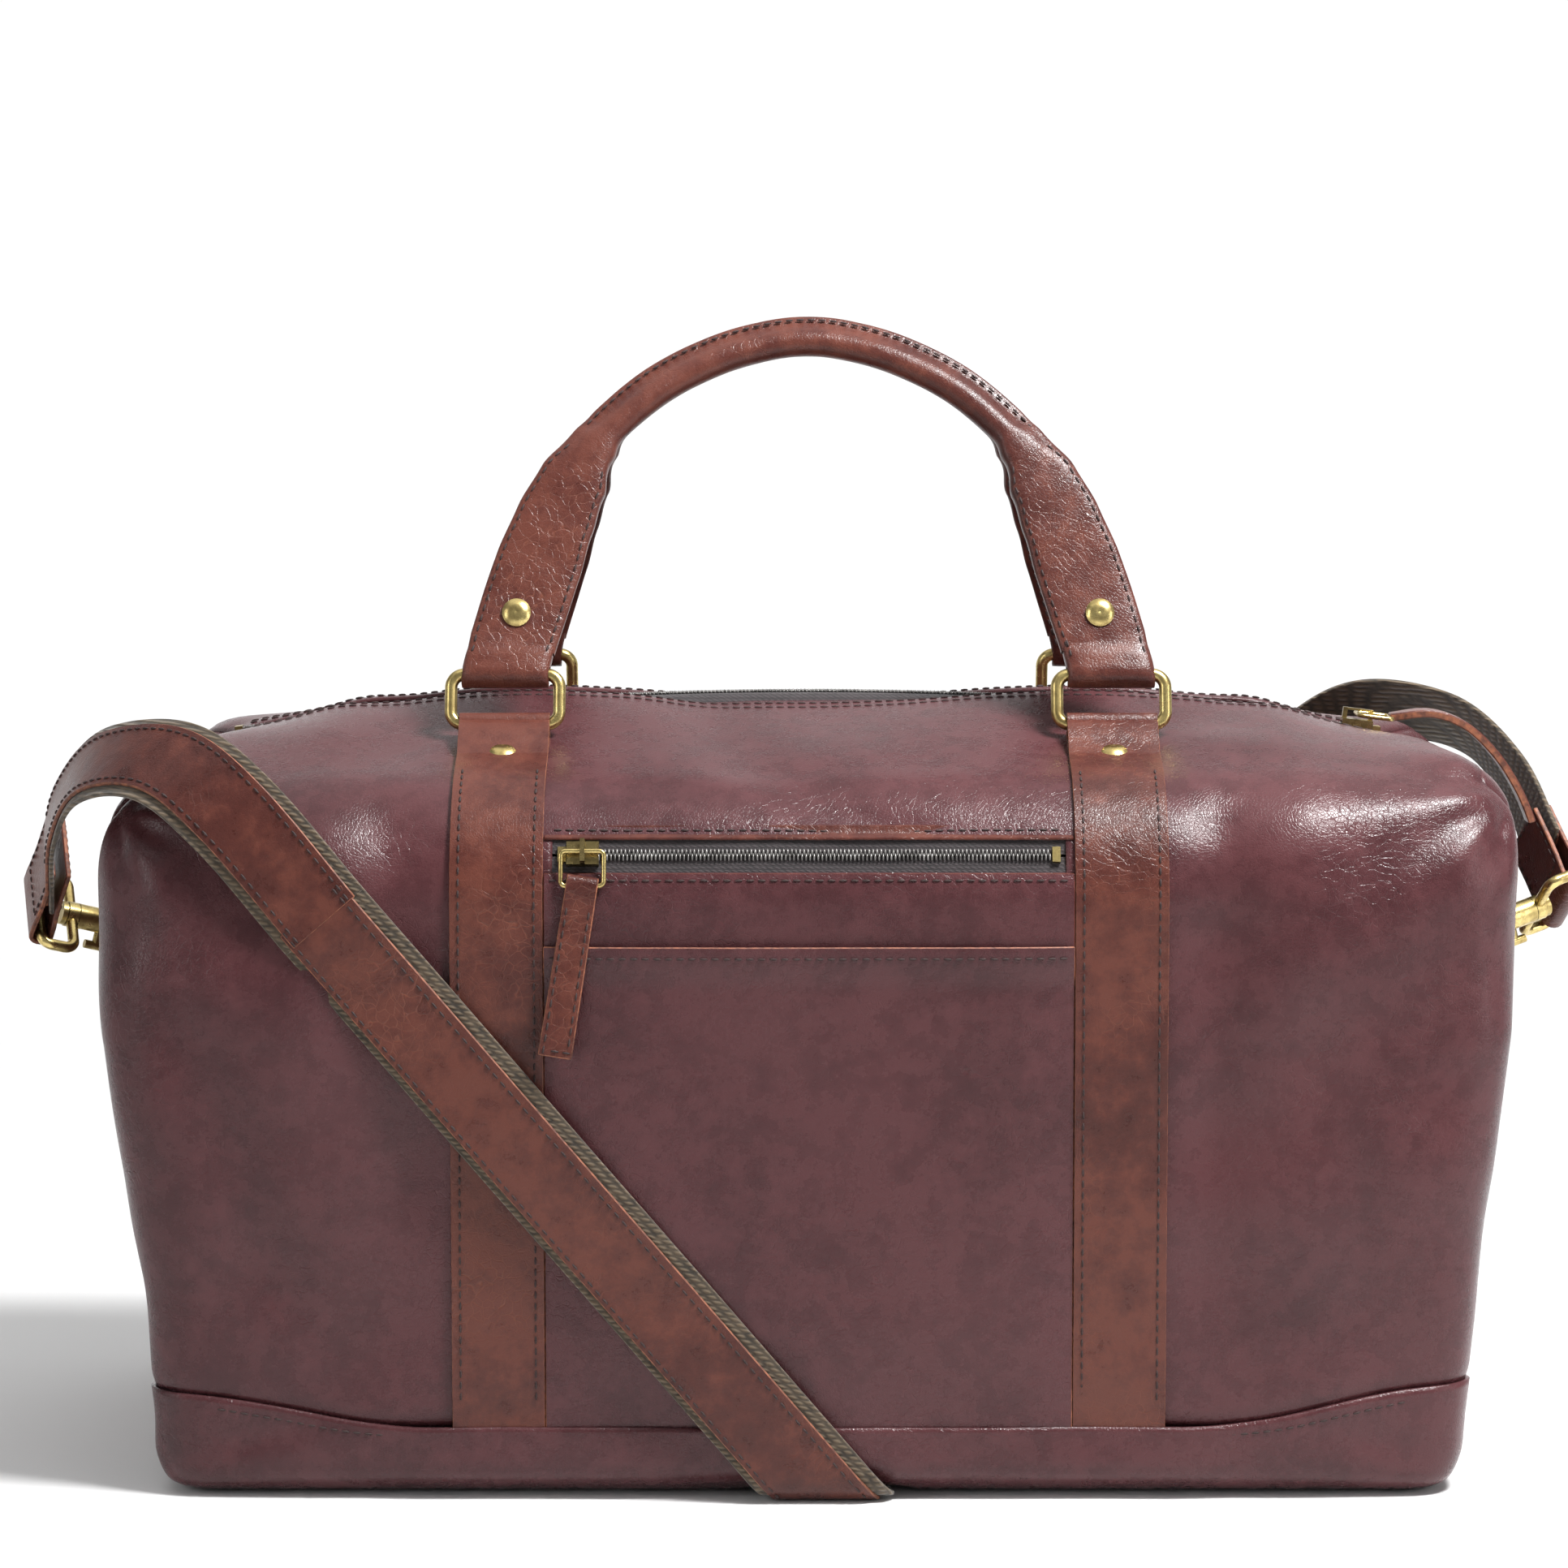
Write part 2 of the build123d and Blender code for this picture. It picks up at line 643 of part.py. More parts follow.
for side_name, side_sign in (("left", -1), ("right", 1)):
    ring_x = side_sign * strap_x
    half_ring = ring_length / 2
    with BuildPart() as front_ring:
        with BuildLine(handle_plane) as route:
            FilletPolyline(
                (ring_x + half_ring, 0), (ring_x + half_ring, -ring_height),
                (ring_x - half_ring, -ring_height), (ring_x - half_ring, 0),
                radius=ring_corner, close=True,
            )
        with BuildSketch(Plane(origin=route.line @ 0, z_dir=route.line % 0)):
            Circle(ring_wire)
        sweep(path=route.line)
    save(front_ring, f"front_ring_{side_name}")
    with BuildPart() as rear_ring:
        mirror(front_ring.part, about=Plane.XZ)
    save(rear_ring, f"rear_ring_{side_name}")

outer_foot = strap_x + strap_width / 2
rivet_x = strap_x - handle_rivet_inset
inner_foot = strap_x - strap_width / 2


def grip_arc():
    """The middle line of the rolled grip, from neck to neck."""
    ThreePointArc((-neck_offset, neck_height), (0, neck_height + grip_rise), (neck_offset, neck_height))


swell_points = [(-outer_foot + inward, height) for inward, height in handle_swell]
with BuildPart() as front_handle:
    with BuildSketch(handle_plane.offset(-handle_thickness / 2)) as flat_end:
        with BuildLine():
            Polyline((-inner_foot, 0), (-outer_foot, 0))
            Spline(
                (-outer_foot, 0), *swell_points, (-neck_offset - grip_radius, neck_height + grip_radius),
            )
            Polyline(
                (-neck_offset - grip_radius, neck_height + grip_radius),
                (-neck_offset + grip_radius, neck_height),
                (-inner_foot, 0),
            )
        make_face()
        mirror(about=Plane.YZ)
    extrude(amount=handle_thickness)
    with BuildLine(handle_plane) as grip_line:
        grip_arc()
    with BuildSketch(Plane(origin=grip_line.line @ 0, z_dir=grip_line.line % 0)):
        Circle(grip_radius)
    sweep(path=grip_line.line)
    for side_sign in (-1, 1):
        with Locations(handle_plane.from_local_coords((side_sign * neck_offset, neck_height, 0))):
            Sphere(grip_radius)
        loop_point = handle_plane.from_local_coords((side_sign * strap_x, 0, 0))
        across(loop_point, loop_outer, strap_width)
        across(loop_point, loop_bore, 2 * strap_width, mode=Mode.SUBTRACT)
        with Locations(Plane(
            origin=handle_plane.from_local_coords((side_sign * rivet_x, handle_rivet_height, 0)),
            x_dir=(1, 0, 0),
            z_dir=handle_out,
        )):
            Cylinder(rivet_shank_radius, 2 * handle_thickness, mode=Mode.SUBTRACT)
    with BuildSketch(Plane(origin=grip_line.line @ 0, z_dir=grip_line.line % 0)):
        Circle(core_radius)
    sweep(path=grip_line.line, mode=Mode.SUBTRACT)
save(front_handle, "front_handle_leather")

with BuildPart() as front_core:
    with BuildLine(handle_plane) as core_line:
        grip_arc()
    with BuildSketch(Plane(origin=core_line.line @ 0, z_dir=core_line.line % 0)):
        Circle(core_radius)
    sweep(path=core_line.line)
save(front_core, "front_handle_core")

with BuildPart() as front_handle_rivets:
    for side_sign in (-1, 1):
        rivet_seat = (side_sign * rivet_x, handle_rivet_height, handle_thickness / 2)
        face = Plane(origin=handle_plane.from_local_coords(rivet_seat), x_dir=(1, 0, 0), z_dir=handle_out)
        rivet(face, handle_thickness)
        with BuildSketch(face.offset(-handle_thickness - rivet_head_height)):
            Circle(rivet_head_radius)
        extrude(amount=rivet_head_height)
save(front_handle_rivets, "front_handle_rivets")

for piece, label in (
    (front_handle, "rear_handle_leather"),
    (front_core, "rear_handle_core"),
    (front_handle_rivets, "rear_handle_rivets"),
):
    with BuildPart() as rear_piece:
        mirror(piece.part, about=Plane.XZ)
    save(rear_piece, label)

# ================================================================ end tabs, D rings and clips
tuck = tuck_plane(-1)
tab_point = tuck.from_local_coords((tab_outer, 0, (tab_top - tuck_start_height) / tuck.z_dir.Z))
bar_x = tab_point.X
bar_z = tab_point.Z

with BuildPart() as end_tab:
    add(strap_skin)
    slab(-reach, 0, -tab_width / 2, tab_width / 2, tab_bottom, bar_z, mode=Mode.INTERSECT)
    with Locations((bar_x, 0, bar_z)):
        Cylinder(tab_outer, tab_width, rotation=(90, 0, 0))
        Cylinder(tab_bore, 2 * tab_width, rotation=(90, 0, 0), mode=Mode.SUBTRACT)

rise = math.radians(d_ring_rise)
d_ring_plane = Plane(
    origin=(bar_x, 0, bar_z),
    x_dir=(0, 1, 0),
    z_dir=(math.sin(rise), 0, math.cos(rise)),
)
with BuildPart() as d_ring:
    with BuildLine(d_ring_plane):
        bow = CenterArc((0, 0), d_ring_width / 2, 0, 180)
    with BuildSketch(Plane(origin=bow @ 0, z_dir=bow % 0)):
        Circle(d_ring_wire)
    sweep(path=bow)
    with Locations((bar_x, 0, bar_z)):
        Cylinder(d_ring_bar, d_ring_width + 2 * d_ring_bar, rotation=(90, 0, 0))

# The clip's own axes: x along the barrel away from the ring, z up.
turn = math.radians(hook_turn)
hook_angle = math.radians(hook_rise)
hook_x = Vector(
    -math.cos(hook_angle) * math.cos(turn), -math.cos(hook_angle) * math.sin(turn), math.sin(hook_angle)
)
hook_z = (Vector(0, 0, 1) - hook_x * hook_x.Z).normalized()
bow_point = Vector(bar_x, 0, bar_z) + Vector(-math.cos(rise), 0, math.sin(rise)) * (d_ring_width / 2)
hook_origin = bow_point - hook_z * claw_offset
hook_side = hook_z.cross(hook_x)
# The sketch planes: along the barrel (for its claw) and square to it (for its round parts).
claw_plane = Plane(origin=hook_origin, x_dir=hook_x, z_dir=-hook_side)


def barrel_plane(place):
    """Plane square to the barrel, at a place along its axis."""
    return Plane(origin=hook_origin + hook_x * place, x_dir=hook_side, z_dir=hook_x)


barrel_end = barrel_start + barrel_length
with BuildPart() as hook:
    with BuildLine(claw_plane):
        claw = CenterArc((0, claw_offset), claw_radius, claw_start, claw_sweep)
    with BuildSketch(Plane(origin=claw @ 0, z_dir=claw % 0)):
        Circle(claw_wire)
    sweep(path=claw)
    for place, radius, length in (
        (barrel_start, barrel_radius, barrel_length),
        (barrel_end, stud_radius, stud_length),
        (barrel_end + stud_length, stud_head_radius, stud_head_height),
    ):
        with BuildSketch(barrel_plane(place)):
            Circle(radius)
        extrude(amount=length)
    with BuildSketch(barrel_plane(-claw_radius / 2)):
        Circle(bolt_radius + bolt_clearance)
    extrude(amount=barrel_end - stud_head_height + claw_radius / 2, mode=Mode.SUBTRACT)
    slot_low = knob_place - bolt_radius - bolt_clearance
    slot_high = knob_place + bolt_travel + bolt_radius + bolt_clearance
    with BuildSketch(claw_plane.offset(-bolt_radius)):
        with Locations(((slot_low + slot_high) / 2, -barrel_radius)):
            Rectangle(slot_high - slot_low, 2 * barrel_radius)
    extrude(amount=2 * bolt_radius, mode=Mode.SUBTRACT)

with BuildPart() as bolt:
    with BuildSketch(barrel_plane(bolt_tip)):
        Circle(bolt_radius)
    extrude(amount=knob_place - bolt_tip + bolt_radius)
    stem_radius = bolt_radius - bolt_clearance
    with BuildSketch(Plane(origin=hook_origin + hook_x * knob_place, x_dir=hook_x, z_dir=-hook_z)):
        Circle(stem_radius)
    extrude(amount=knob_drop)
    with BuildSketch(
        Plane(
            origin=hook_origin + hook_x * (knob_place - knob_length / 2) - hook_z * knob_drop,
            x_dir=hook_side,
            z_dir=hook_x,
        )
    ):
        Circle(bolt_radius)
    extrude(amount=knob_length)

eye_inner = barrel_end + stud_length / 2
eye_angle = math.radians(eye_roll)
eye_side = hook_z * math.sin(eye_angle) - hook_side * math.cos(eye_angle)
eye_normal = hook_x.cross(eye_side)
eye_plane = Plane(origin=hook_origin + hook_x * eye_inner, x_dir=eye_side, z_dir=eye_normal)
with BuildPart() as eye:
    with BuildLine(eye_plane) as route:
        half_eye = eye_width / 2
        FilletPolyline(
            (half_eye, 0), (half_eye, -eye_reach), (-half_eye, -eye_reach), (-half_eye, 0),
            radius=eye_corner, close=True,
        )
    with BuildSketch(Plane(origin=route.line @ 0, z_dir=route.line % 0)):
        Circle(eye_wire)
    sweep(path=route.line)
    with BuildSketch(barrel_plane(barrel_end + bolt_clearance)):
        Circle(barrel_radius)
    extrude(amount=stud_length - 2 * bolt_clearance)
    with BuildSketch(barrel_plane(barrel_end)):
        Circle(stud_radius + bolt_clearance)
    extrude(amount=stud_length, mode=Mode.SUBTRACT)

# ================================================================ shoulder strap
def strap_layer(width, low, high):
    """One layer of the strap: the run over the front, the run under the base and the run up the rear."""
    half = width / 2 / front_run_cosine
    foot_z = strap_stack - high

    def run_x(height):
        return front_run_foot - height * run_tangent

    with BuildSketch(Plane.XZ.offset(strap_inner_y + low)) as band:
        Polygon(
            (run_x(foot_z) - half, foot_z), (run_x(foot_z) + half, foot_z),
            (run_x(front_run_top) + half, front_run_top), (run_x(front_run_top) - half, front_run_top),
            align=None,
        )
    extrude(band.sketch, amount=high - low)
    with BuildSketch(Plane.XZ.offset(-strap_inner_y - high)) as band:
        Polygon(
            (-run_x(foot_z) - half, foot_z), (-run_x(foot_z) + half, foot_z),
            (-run_x(front_run_top) + half, front_run_top), (-run_x(front_run_top) - half, front_run_top),
            align=None,
        )
    extrude(band.sketch, amount=high - low)
    under_run(Plane.XY.offset(foot_z), width, 0, strap_inner_y + high, high - low)


with BuildPart() as webbing:
    strap_layer(webbing_width, 0, webbing_thickness)
save(webbing, "shoulder_strap_webbing")

with BuildPart() as overlay:
    strap_layer(overlay_width, webbing_thickness, strap_stack)
save(overlay, "shoulder_strap_leather")

# The strap's end turns over the ear of the bag and down to the clip's eye.
bar_center = eye_plane.from_local_coords((0, -eye_reach, 0))
chape_way = Vector(*chape_direction)
chape_way = (chape_way - eye_side * chape_way.dot(eye_side)).normalized()
chape_end = bar_center + chape_way * chape_tail
chape_width = eye_width - 2 * eye_wire - 4 * strap_air
chape_outer = chape_bore + loop_wall

with BuildPart() as chape:
    with BuildSketch(Plane(origin=bar_center - eye_side * (chape_width / 2), x_dir=hook_x, z_dir=eye_side)):
        Circle(chape_outer)
    extrude(amount=chape_width)
    with BuildSketch(Plane(origin=bar_center, x_dir=eye_side, z_dir=chape_way)):
        Rectangle(chape_width, strap_stack + loop_wall)
    extrude(amount=chape_tail)
    with BuildSketch(Plane(origin=bar_center - eye_side * chape_width, x_dir=hook_x, z_dir=eye_side)):
        Circle(chape_bore)
    extrude(amount=2 * chape_width, mode=Mode.SUBTRACT)

ear_corner = Vector(-ear_length / 2, -depth / 2, ear_height)
turns = [ear_corner + Vector(*steps) for steps in ear_route] + [chape_end]
widths = [Vector(*width).normalized() for width in ear_widths] + [eye_side]
front_top = Vector(
    front_run_foot - front_run_top * run_tangent, -strap_inner_y - strap_stack / 2, front_run_top
)
with BuildPart() as strap_end:
    with BuildSketch(Plane(origin=front_top, x_dir=(1, 0, 0), z_dir=(0, 0, 1))):
        Rectangle(webbing_width / front_run_cosine, strap_stack)
    stations = [front_top] + turns
    for index, place in enumerate(turns):
        before = stations[index]
        after = turns[min(index + 1, len(turns) - 1)]
        way = (after - before).normalized() if place != chape_end else -chape_way
        across_way = widths[index]
        way = (way - across_way * way.dot(across_way)).normalized()
        with BuildSketch(Plane(origin=place, x_dir=across_way, z_dir=way)):
            Rectangle(webbing_width if place != chape_end else chape_width, strap_stack)
    loft(ruled=True)

for piece, label in (
    (end_tab, "end_tab"),
    (d_ring, "d_ring"),
    (hook, "clip_hook"),
    (bolt, "clip_bolt"),
    (eye, "clip_eye"),
    (chape, "strap_chape"),
    (strap_end, "strap_end"),
):
    for side_name, turned in (("left", 0), ("right", 180)):
        with BuildPart() as end_piece:
            add(piece.part.rotate(Axis.Z, turned))
        save(end_piece, f"{side_name}_{label}")
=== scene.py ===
import json
import math
import bpy
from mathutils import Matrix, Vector, noise
from mathutils.bvhtree import BVHTree


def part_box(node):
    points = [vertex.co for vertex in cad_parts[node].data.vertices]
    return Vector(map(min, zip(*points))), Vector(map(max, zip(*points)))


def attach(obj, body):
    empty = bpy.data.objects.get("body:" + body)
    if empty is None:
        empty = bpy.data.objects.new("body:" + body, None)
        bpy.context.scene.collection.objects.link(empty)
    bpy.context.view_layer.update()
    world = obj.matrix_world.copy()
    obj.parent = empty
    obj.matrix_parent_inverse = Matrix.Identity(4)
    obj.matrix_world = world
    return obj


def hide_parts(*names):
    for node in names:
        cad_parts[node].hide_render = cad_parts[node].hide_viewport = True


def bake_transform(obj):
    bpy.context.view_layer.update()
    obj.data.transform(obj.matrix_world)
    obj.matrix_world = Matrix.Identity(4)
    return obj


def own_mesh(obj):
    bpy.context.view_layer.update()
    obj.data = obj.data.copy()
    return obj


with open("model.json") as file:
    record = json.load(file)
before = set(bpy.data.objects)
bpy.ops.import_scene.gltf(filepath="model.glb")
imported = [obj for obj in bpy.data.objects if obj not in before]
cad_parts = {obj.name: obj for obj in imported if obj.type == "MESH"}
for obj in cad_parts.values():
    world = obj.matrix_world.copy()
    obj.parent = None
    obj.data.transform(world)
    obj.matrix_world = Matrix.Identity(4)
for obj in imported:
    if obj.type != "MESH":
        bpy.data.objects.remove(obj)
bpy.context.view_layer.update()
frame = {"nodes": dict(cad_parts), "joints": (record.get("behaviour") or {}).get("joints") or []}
nodes = frame["nodes"]
joints = {joint["name"]: joint for joint in frame["joints"]}
print("frame loaded:", len(nodes), "nodes")


# small helpers
def deselectAll():
    bpy.ops.object.select_all(action="DESELECT")


def selectOnly(piece):
    deselectAll()
    piece.select_set(True)
    bpy.context.view_layer.objects.active = piece


def applyModifier(piece, kind, **settings):
    bpy.context.view_layer.objects.active = piece
    modifier = piece.modifiers.new(kind, kind)
    for key, value in settings.items():
        setattr(modifier, key, value)
    bpy.ops.object.modifier_apply(modifier=modifier.name)


def cleanMesh(merge=0, close=False, inside=False):
    # the active piece: doubles merged, open ends closed, and all faces turned one way
    bpy.ops.object.mode_set(mode="EDIT")
    bpy.ops.mesh.select_all(action="SELECT")
    if merge:
        bpy.ops.mesh.remove_doubles(threshold=merge)
    if close:
        bpy.ops.mesh.fill_holes(sides=0)
        bpy.ops.mesh.select_all(action="SELECT")
    bpy.ops.mesh.normals_make_consistent(inside=inside)
    bpy.ops.object.mode_set(mode="OBJECT")


def cutWith(piece, cutter):
    selectOnly(piece)
    applyModifier(piece, "BOOLEAN", object=cutter, operation="DIFFERENCE", solver="EXACT")
    bpy.data.objects.remove(cutter)


def smooth(low, high, value):
    share = min(max((value - low) / (high - low), 0), 1)
    return share * share * (3 - 2 * share)


def mix(a, b, share):
    return a + (b - a) * share


def curveThrough(points, share):
    # a smooth line through the points, at a share of its length
    spans = len(points) - 1
    place = min(max(share, 0), 1) * spans
    index = min(int(place), spans - 1)
    t = place - index
    p1, p2 = points[index], points[index + 1]
    p0 = points[index - 1] if index else p1 * 2 - p2
    p3 = points[index + 2] if index + 2 <= spans else p2 * 2 - p1
    return (p1 * 2 + (p2 - p0) * t + (p0 * 2 - p1 * 5 + p2 * 4 - p3) * t * t
            + (p1 * 3 - p0 - p2 * 3 + p3) * t * t * t) / 2


def fairLine(points, step):
    # the same points as a dense line with even steps
    dense = [curveThrough(points, i / 400) for i in range(401)]
    line, left = [dense[0]], step
    for a, b in zip(dense, dense[1:]):
        gap = (b - a).length
        while left <= gap and gap > 0:
            a = a + (b - a) * (left / gap)
            line.append(a)
            gap -= left
            left = step
        left -= gap
    return line


# leather, brass, cloth and zip finishes
def newFinish(name):
    finish = bpy.data.materials.new(name)
    finish.use_nodes = True
    tree = finish.node_tree
    shader = tree.nodes["Principled BSDF"]
    place = tree.nodes.new("ShaderNodeTexCoord")
    return finish, tree, shader, place.outputs["Object"]


def addNode(tree, kind, links=(), **settings):
    node = tree.nodes.new(kind)
    for key, value in settings.items():
        if hasattr(node, key):
            setattr(node, key, value)
        else:
            node.inputs[key.replace("_", " ")].default_value = value
    for socket, source in links:
        tree.links.new(source, node.inputs[socket])
    return node


def rampNode(tree, source, stops):
    ramp = addNode(tree, "ShaderNodeValToRGB", [("Fac", source)])
    while len(ramp.color_ramp.elements) < len(stops):
        ramp.color_ramp.elements.new(0.5)
    for element, (place, colour) in zip(ramp.color_ramp.elements, stops):
        element.position = place
        element.color = (*colour, 1)
    return ramp.outputs["Color"]


def greyRamp(tree, source, low, high, dark=0.0, light=1.0):
    return rampNode(tree, source, [(low, (dark,) * 3), (high, (light,) * 3)])


def noiseNode(tree, place, scale, detail, roughness=0.5):
    return addNode(tree, "ShaderNodeTexNoise", [("Vector", place)], Scale=scale, Detail=detail,
                   Roughness=roughness)


def bumpNode(tree, height, strength, distance, under=None, invert=False):
    links = [("Height", height)] + ([("Normal", under)] if under is not None else [])
    return addNode(tree, "ShaderNodeBump", links, invert=invert, Strength=strength, Distance=distance).outputs[0]


def edgeCells(tree, place, scale):
    return addNode(tree, "ShaderNodeTexVoronoi", [("Vector", place)], feature="DISTANCE_TO_EDGE",
                   Scale=scale).outputs["Distance"]


def setInputs(shader, values):
    for key, value in values.items():
        shader.inputs[key].default_value = value


def leatherFinish(name, dark, middle, light, crackle, rough, sheen, crackScale, crackColour, rumpling=0.2):
    finish, tree, shader, place = newFinish(name)
    link = tree.links.new
    clouds = noiseNode(tree, place, 11.0, 4.0, 0.6).outputs["Fac"]
    mottle = noiseNode(tree, place, 95.0, 6.0, 0.7).outputs["Fac"]
    both = addNode(tree, "ShaderNodeMath", [(0, mottle), (1, mottle), (2, clouds)], operation="MULTIPLY_ADD")
    colour = rampNode(tree, both.outputs[0], [(0.48, dark), (0.67, middle), (0.88, light)])
    pores = greyRamp(tree, edgeCells(tree, place, 820.0), 0.0, 0.14)
    # the long creases of pull-up leather, where the leather is paler
    wander = noiseNode(tree, place, 42.0, 3.0).outputs["Color"]
    bentPlace = addNode(tree, "ShaderNodeVectorMath", [(0, wander), (2, place)], operation="MULTIPLY_ADD")
    bentPlace.inputs[1].default_value = (0.02, 0.02, 0.02)
    crackLine = greyRamp(tree, edgeCells(tree, bentPlace.outputs[0], crackScale), 0.0, 0.05, 1.0, 0.0)
    patch = greyRamp(tree, noiseNode(tree, place, 17.0, 2.0).outputs["Fac"], 0.46, 0.66)
    cracks = addNode(tree, "ShaderNodeMath", [(0, crackLine), (1, patch)], operation="MULTIPLY").outputs[0]
    crackShare = addNode(tree, "ShaderNodeMath", [(0, cracks)], operation="MULTIPLY")
    crackShare.inputs[1].default_value = crackle
    tint = addNode(tree, "ShaderNodeMix", data_type="RGBA")
    link(crackShare.outputs[0], tint.inputs[0])
    link(colour, tint.inputs[6])
    tint.inputs[7].default_value = (*crackColour, 1)
    link(tint.outputs[2], shader.inputs["Base Color"])
    gloss = addNode(tree, "ShaderNodeMapRange", [("Value", mottle)], From_Min=0.3, From_Max=0.7,
                    To_Min=rough[0], To_Max=rough[1])
    link(gloss.outputs[0], shader.inputs["Roughness"])
    poreBump = bumpNode(tree, pores, 0.16, 0.0006)
    crackBump = bumpNode(tree, cracks, 0.28, 0.0008, poreBump, invert=True)
    rumples = noiseNode(tree, place, 30.0, 5.0, 0.55).outputs["Fac"]
    link(bumpNode(tree, rumples, rumpling, 0.0045, crackBump), shader.inputs["Normal"])
    setInputs(shader, {"Sheen Weight": sheen, "Sheen Roughness": 0.45, "Sheen Tint": (0.78, 0.62, 0.70, 1),
                       "Coat Weight": 0.05, "Coat Roughness": 0.30, "Specular IOR Level": 0.26})
    return finish


def metalFinish(name, bright, dull):
    finish, tree, shader, place = newFinish(name)
    wear = noiseNode(tree, place, 160.0, 5.0, 0.65).outputs["Fac"]
    tree.links.new(rampNode(tree, wear, [(0.34, dull), (0.58, bright)]), shader.inputs["Base Color"])
    tree.links.new(greyRamp(tree, wear, 0.3, 0.7, 0.36, 0.22), shader.inputs["Roughness"])
    fine = noiseNode(tree, place, 1400.0, 2.0).outputs["Fac"]
    tree.links.new(bumpNode(tree, fine, 0.08, 0.0003), shader.inputs["Normal"])
    setInputs(shader, {"Metallic": 1.0})
    return finish


def clothFinish(name, dark, light, threads=900.0, strength=0.6):
    finish, tree, shader, place = newFinish(name)
    across, along = [
        addNode(tree, "ShaderNodeTexWave", [("Vector", place)], bands_direction=way, Scale=threads / 6.0,
                Distortion=1.2, Detail=1.0).outputs["Fac"] for way in ("DIAGONAL", "Z")]
    weave = addNode(tree, "ShaderNodeMath", [(0, across), (1, along)], operation="MULTIPLY")
    fuzz = noiseNode(tree, place, 260.0, 4.0)
    shade = addNode(tree, "ShaderNodeMath", [(0, weave.outputs[0]), (1, fuzz.outputs["Fac"])],
                    operation="ADD").outputs[0]
    tree.links.new(rampNode(tree, shade, [(0.35, dark), (1.15, light)]), shader.inputs["Base Color"])
    tree.links.new(bumpNode(tree, shade, strength, 0.0006), shader.inputs["Normal"])
    setInputs(shader, {"Roughness": 0.85, "Sheen Weight": 0.25})
    return finish


def plainFinish(name, dark, light, scale=700.0, gloss=0.6, metal=0.0):
    finish, tree, shader, place = newFinish(name)
    grain = noiseNode(tree, place, scale, 4.0).outputs["Fac"]
    tree.links.new(rampNode(tree, grain, [(0.35, dark), (0.65, light)]), shader.inputs["Base Color"])
    tree.links.new(bumpNode(tree, grain, 0.25, 0.0005), shader.inputs["Normal"])
    setInputs(shader, {"Roughness": gloss, "Metallic": metal})
    return finish


bodyLeather = leatherFinish("bodyLeather", (0.040, 0.0125, 0.0142), (0.054, 0.0170, 0.0192),
                            (0.072, 0.0235, 0.0260), crackle=0.05, rough=(0.22, 0.33), sheen=0.03,
                            crackScale=260.0, crackColour=(0.15, 0.06, 0.055), rumpling=0.10)
strapLeather = leatherFinish("strapLeather", (0.040, 0.0108, 0.0086), (0.062, 0.0170, 0.0128),
                             (0.098, 0.0285, 0.0190), crackle=0.24, rough=(0.25, 0.38), sheen=0.02,
                             crackScale=230.0, crackColour=(0.24, 0.085, 0.05))
cutEdge = plainFinish("cutEdge", (0.075, 0.022, 0.012), (0.24, 0.080, 0.036), scale=420.0)
brass = metalFinish("antiqueBrass", (0.62, 0.49, 0.20), (0.30, 0.22, 0.085))
darkBrass = metalFinish("darkBrass", (0.40, 0.31, 0.13), (0.15, 0.11, 0.05))
webbingCloth = clothFinish("webbingCloth", (0.020, 0.014, 0.008), (0.105, 0.075, 0.045))
zipCloth = clothFinish("zipCloth", (0.006, 0.004, 0.005), (0.026, 0.018, 0.020), threads=1500.0, strength=0.35)
liningCloth = clothFinish("liningCloth", (0.03, 0.022, 0.018), (0.08, 0.06, 0.05))
cordCloth = clothFinish("cordCloth", (0.25, 0.21, 0.16), (0.45, 0.39, 0.31))
zipTooth = plainFinish("zipTooth", (0.10, 0.095, 0.09), (0.26, 0.25, 0.24), scale=300.0, gloss=0.32, metal=0.6)
boardFinish = plainFinish("boardFinish", (0.05, 0.045, 0.04), (0.10, 0.09, 0.08))
threadFinish = plainFinish("threadFinish", (0.012, 0.005, 0.005), (0.040, 0.018, 0.016), scale=1800.0, gloss=0.75)
print("finishes made")

for name, node in nodes.items():
    if name == "cabin_lining" or name == "front_pocket_bag":
        finish = liningCloth
    elif name.endswith("_core"):
        finish = cordCloth
    elif name == "base_board":
        finish = boardFinish
    elif "slider" in name:
        finish = darkBrass
    else:
        finish = brass
    node.data.materials.clear()
    node.data.materials.append(finish)

# the bag's soft form
bagShape = {
    "halfDepth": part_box("base_panel")[1].y,
    "halfLength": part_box("right_end_panel")[1].x,
    "height": 0.27,             # of the form before its roof is shaped
    "footRadius": 0.013,
    "topRadius": 0.036,
    "taper": 0.013,             # each end leans out by this much at the top
    "earSwell": 0.0085,
    "ridge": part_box("rear_panel")[1].z,
    "ridgeHalf": 0.012,
    "crownRadius": 1.7,
    "roofSlope": math.radians(18),
    "shoulder": 0.05,
    "shoulderStart": 0.223,
    "bandHeight": 0.029,
    "bandLift": 0.015,          # the band's edge rises towards the corners
    "tuckStart": 0.150,
    "tuckDepth": 0.020,
    "cornerRadius": 0.021,
    "bandRows": 7,
    "rows": 64,
    "saddle": 0.0055,           # the zip's line stands higher over the straps
    "dip": 0.0030,              # and lower between the handles
    "slotHalf": 0.0625,         # the zip's slot, as shares of half the depth and half the length
    "slotEnd": 0.9375,
    "endHalf": 0.75,            # an end panel's width, as a share of the depth
}
shoulderY = bagShape["halfDepth"] - bagShape["shoulder"]


def softMin(a, b, width):
    gap = max(width - abs(a - b), 0) / width
    return min(a, b) - gap * gap * width / 4


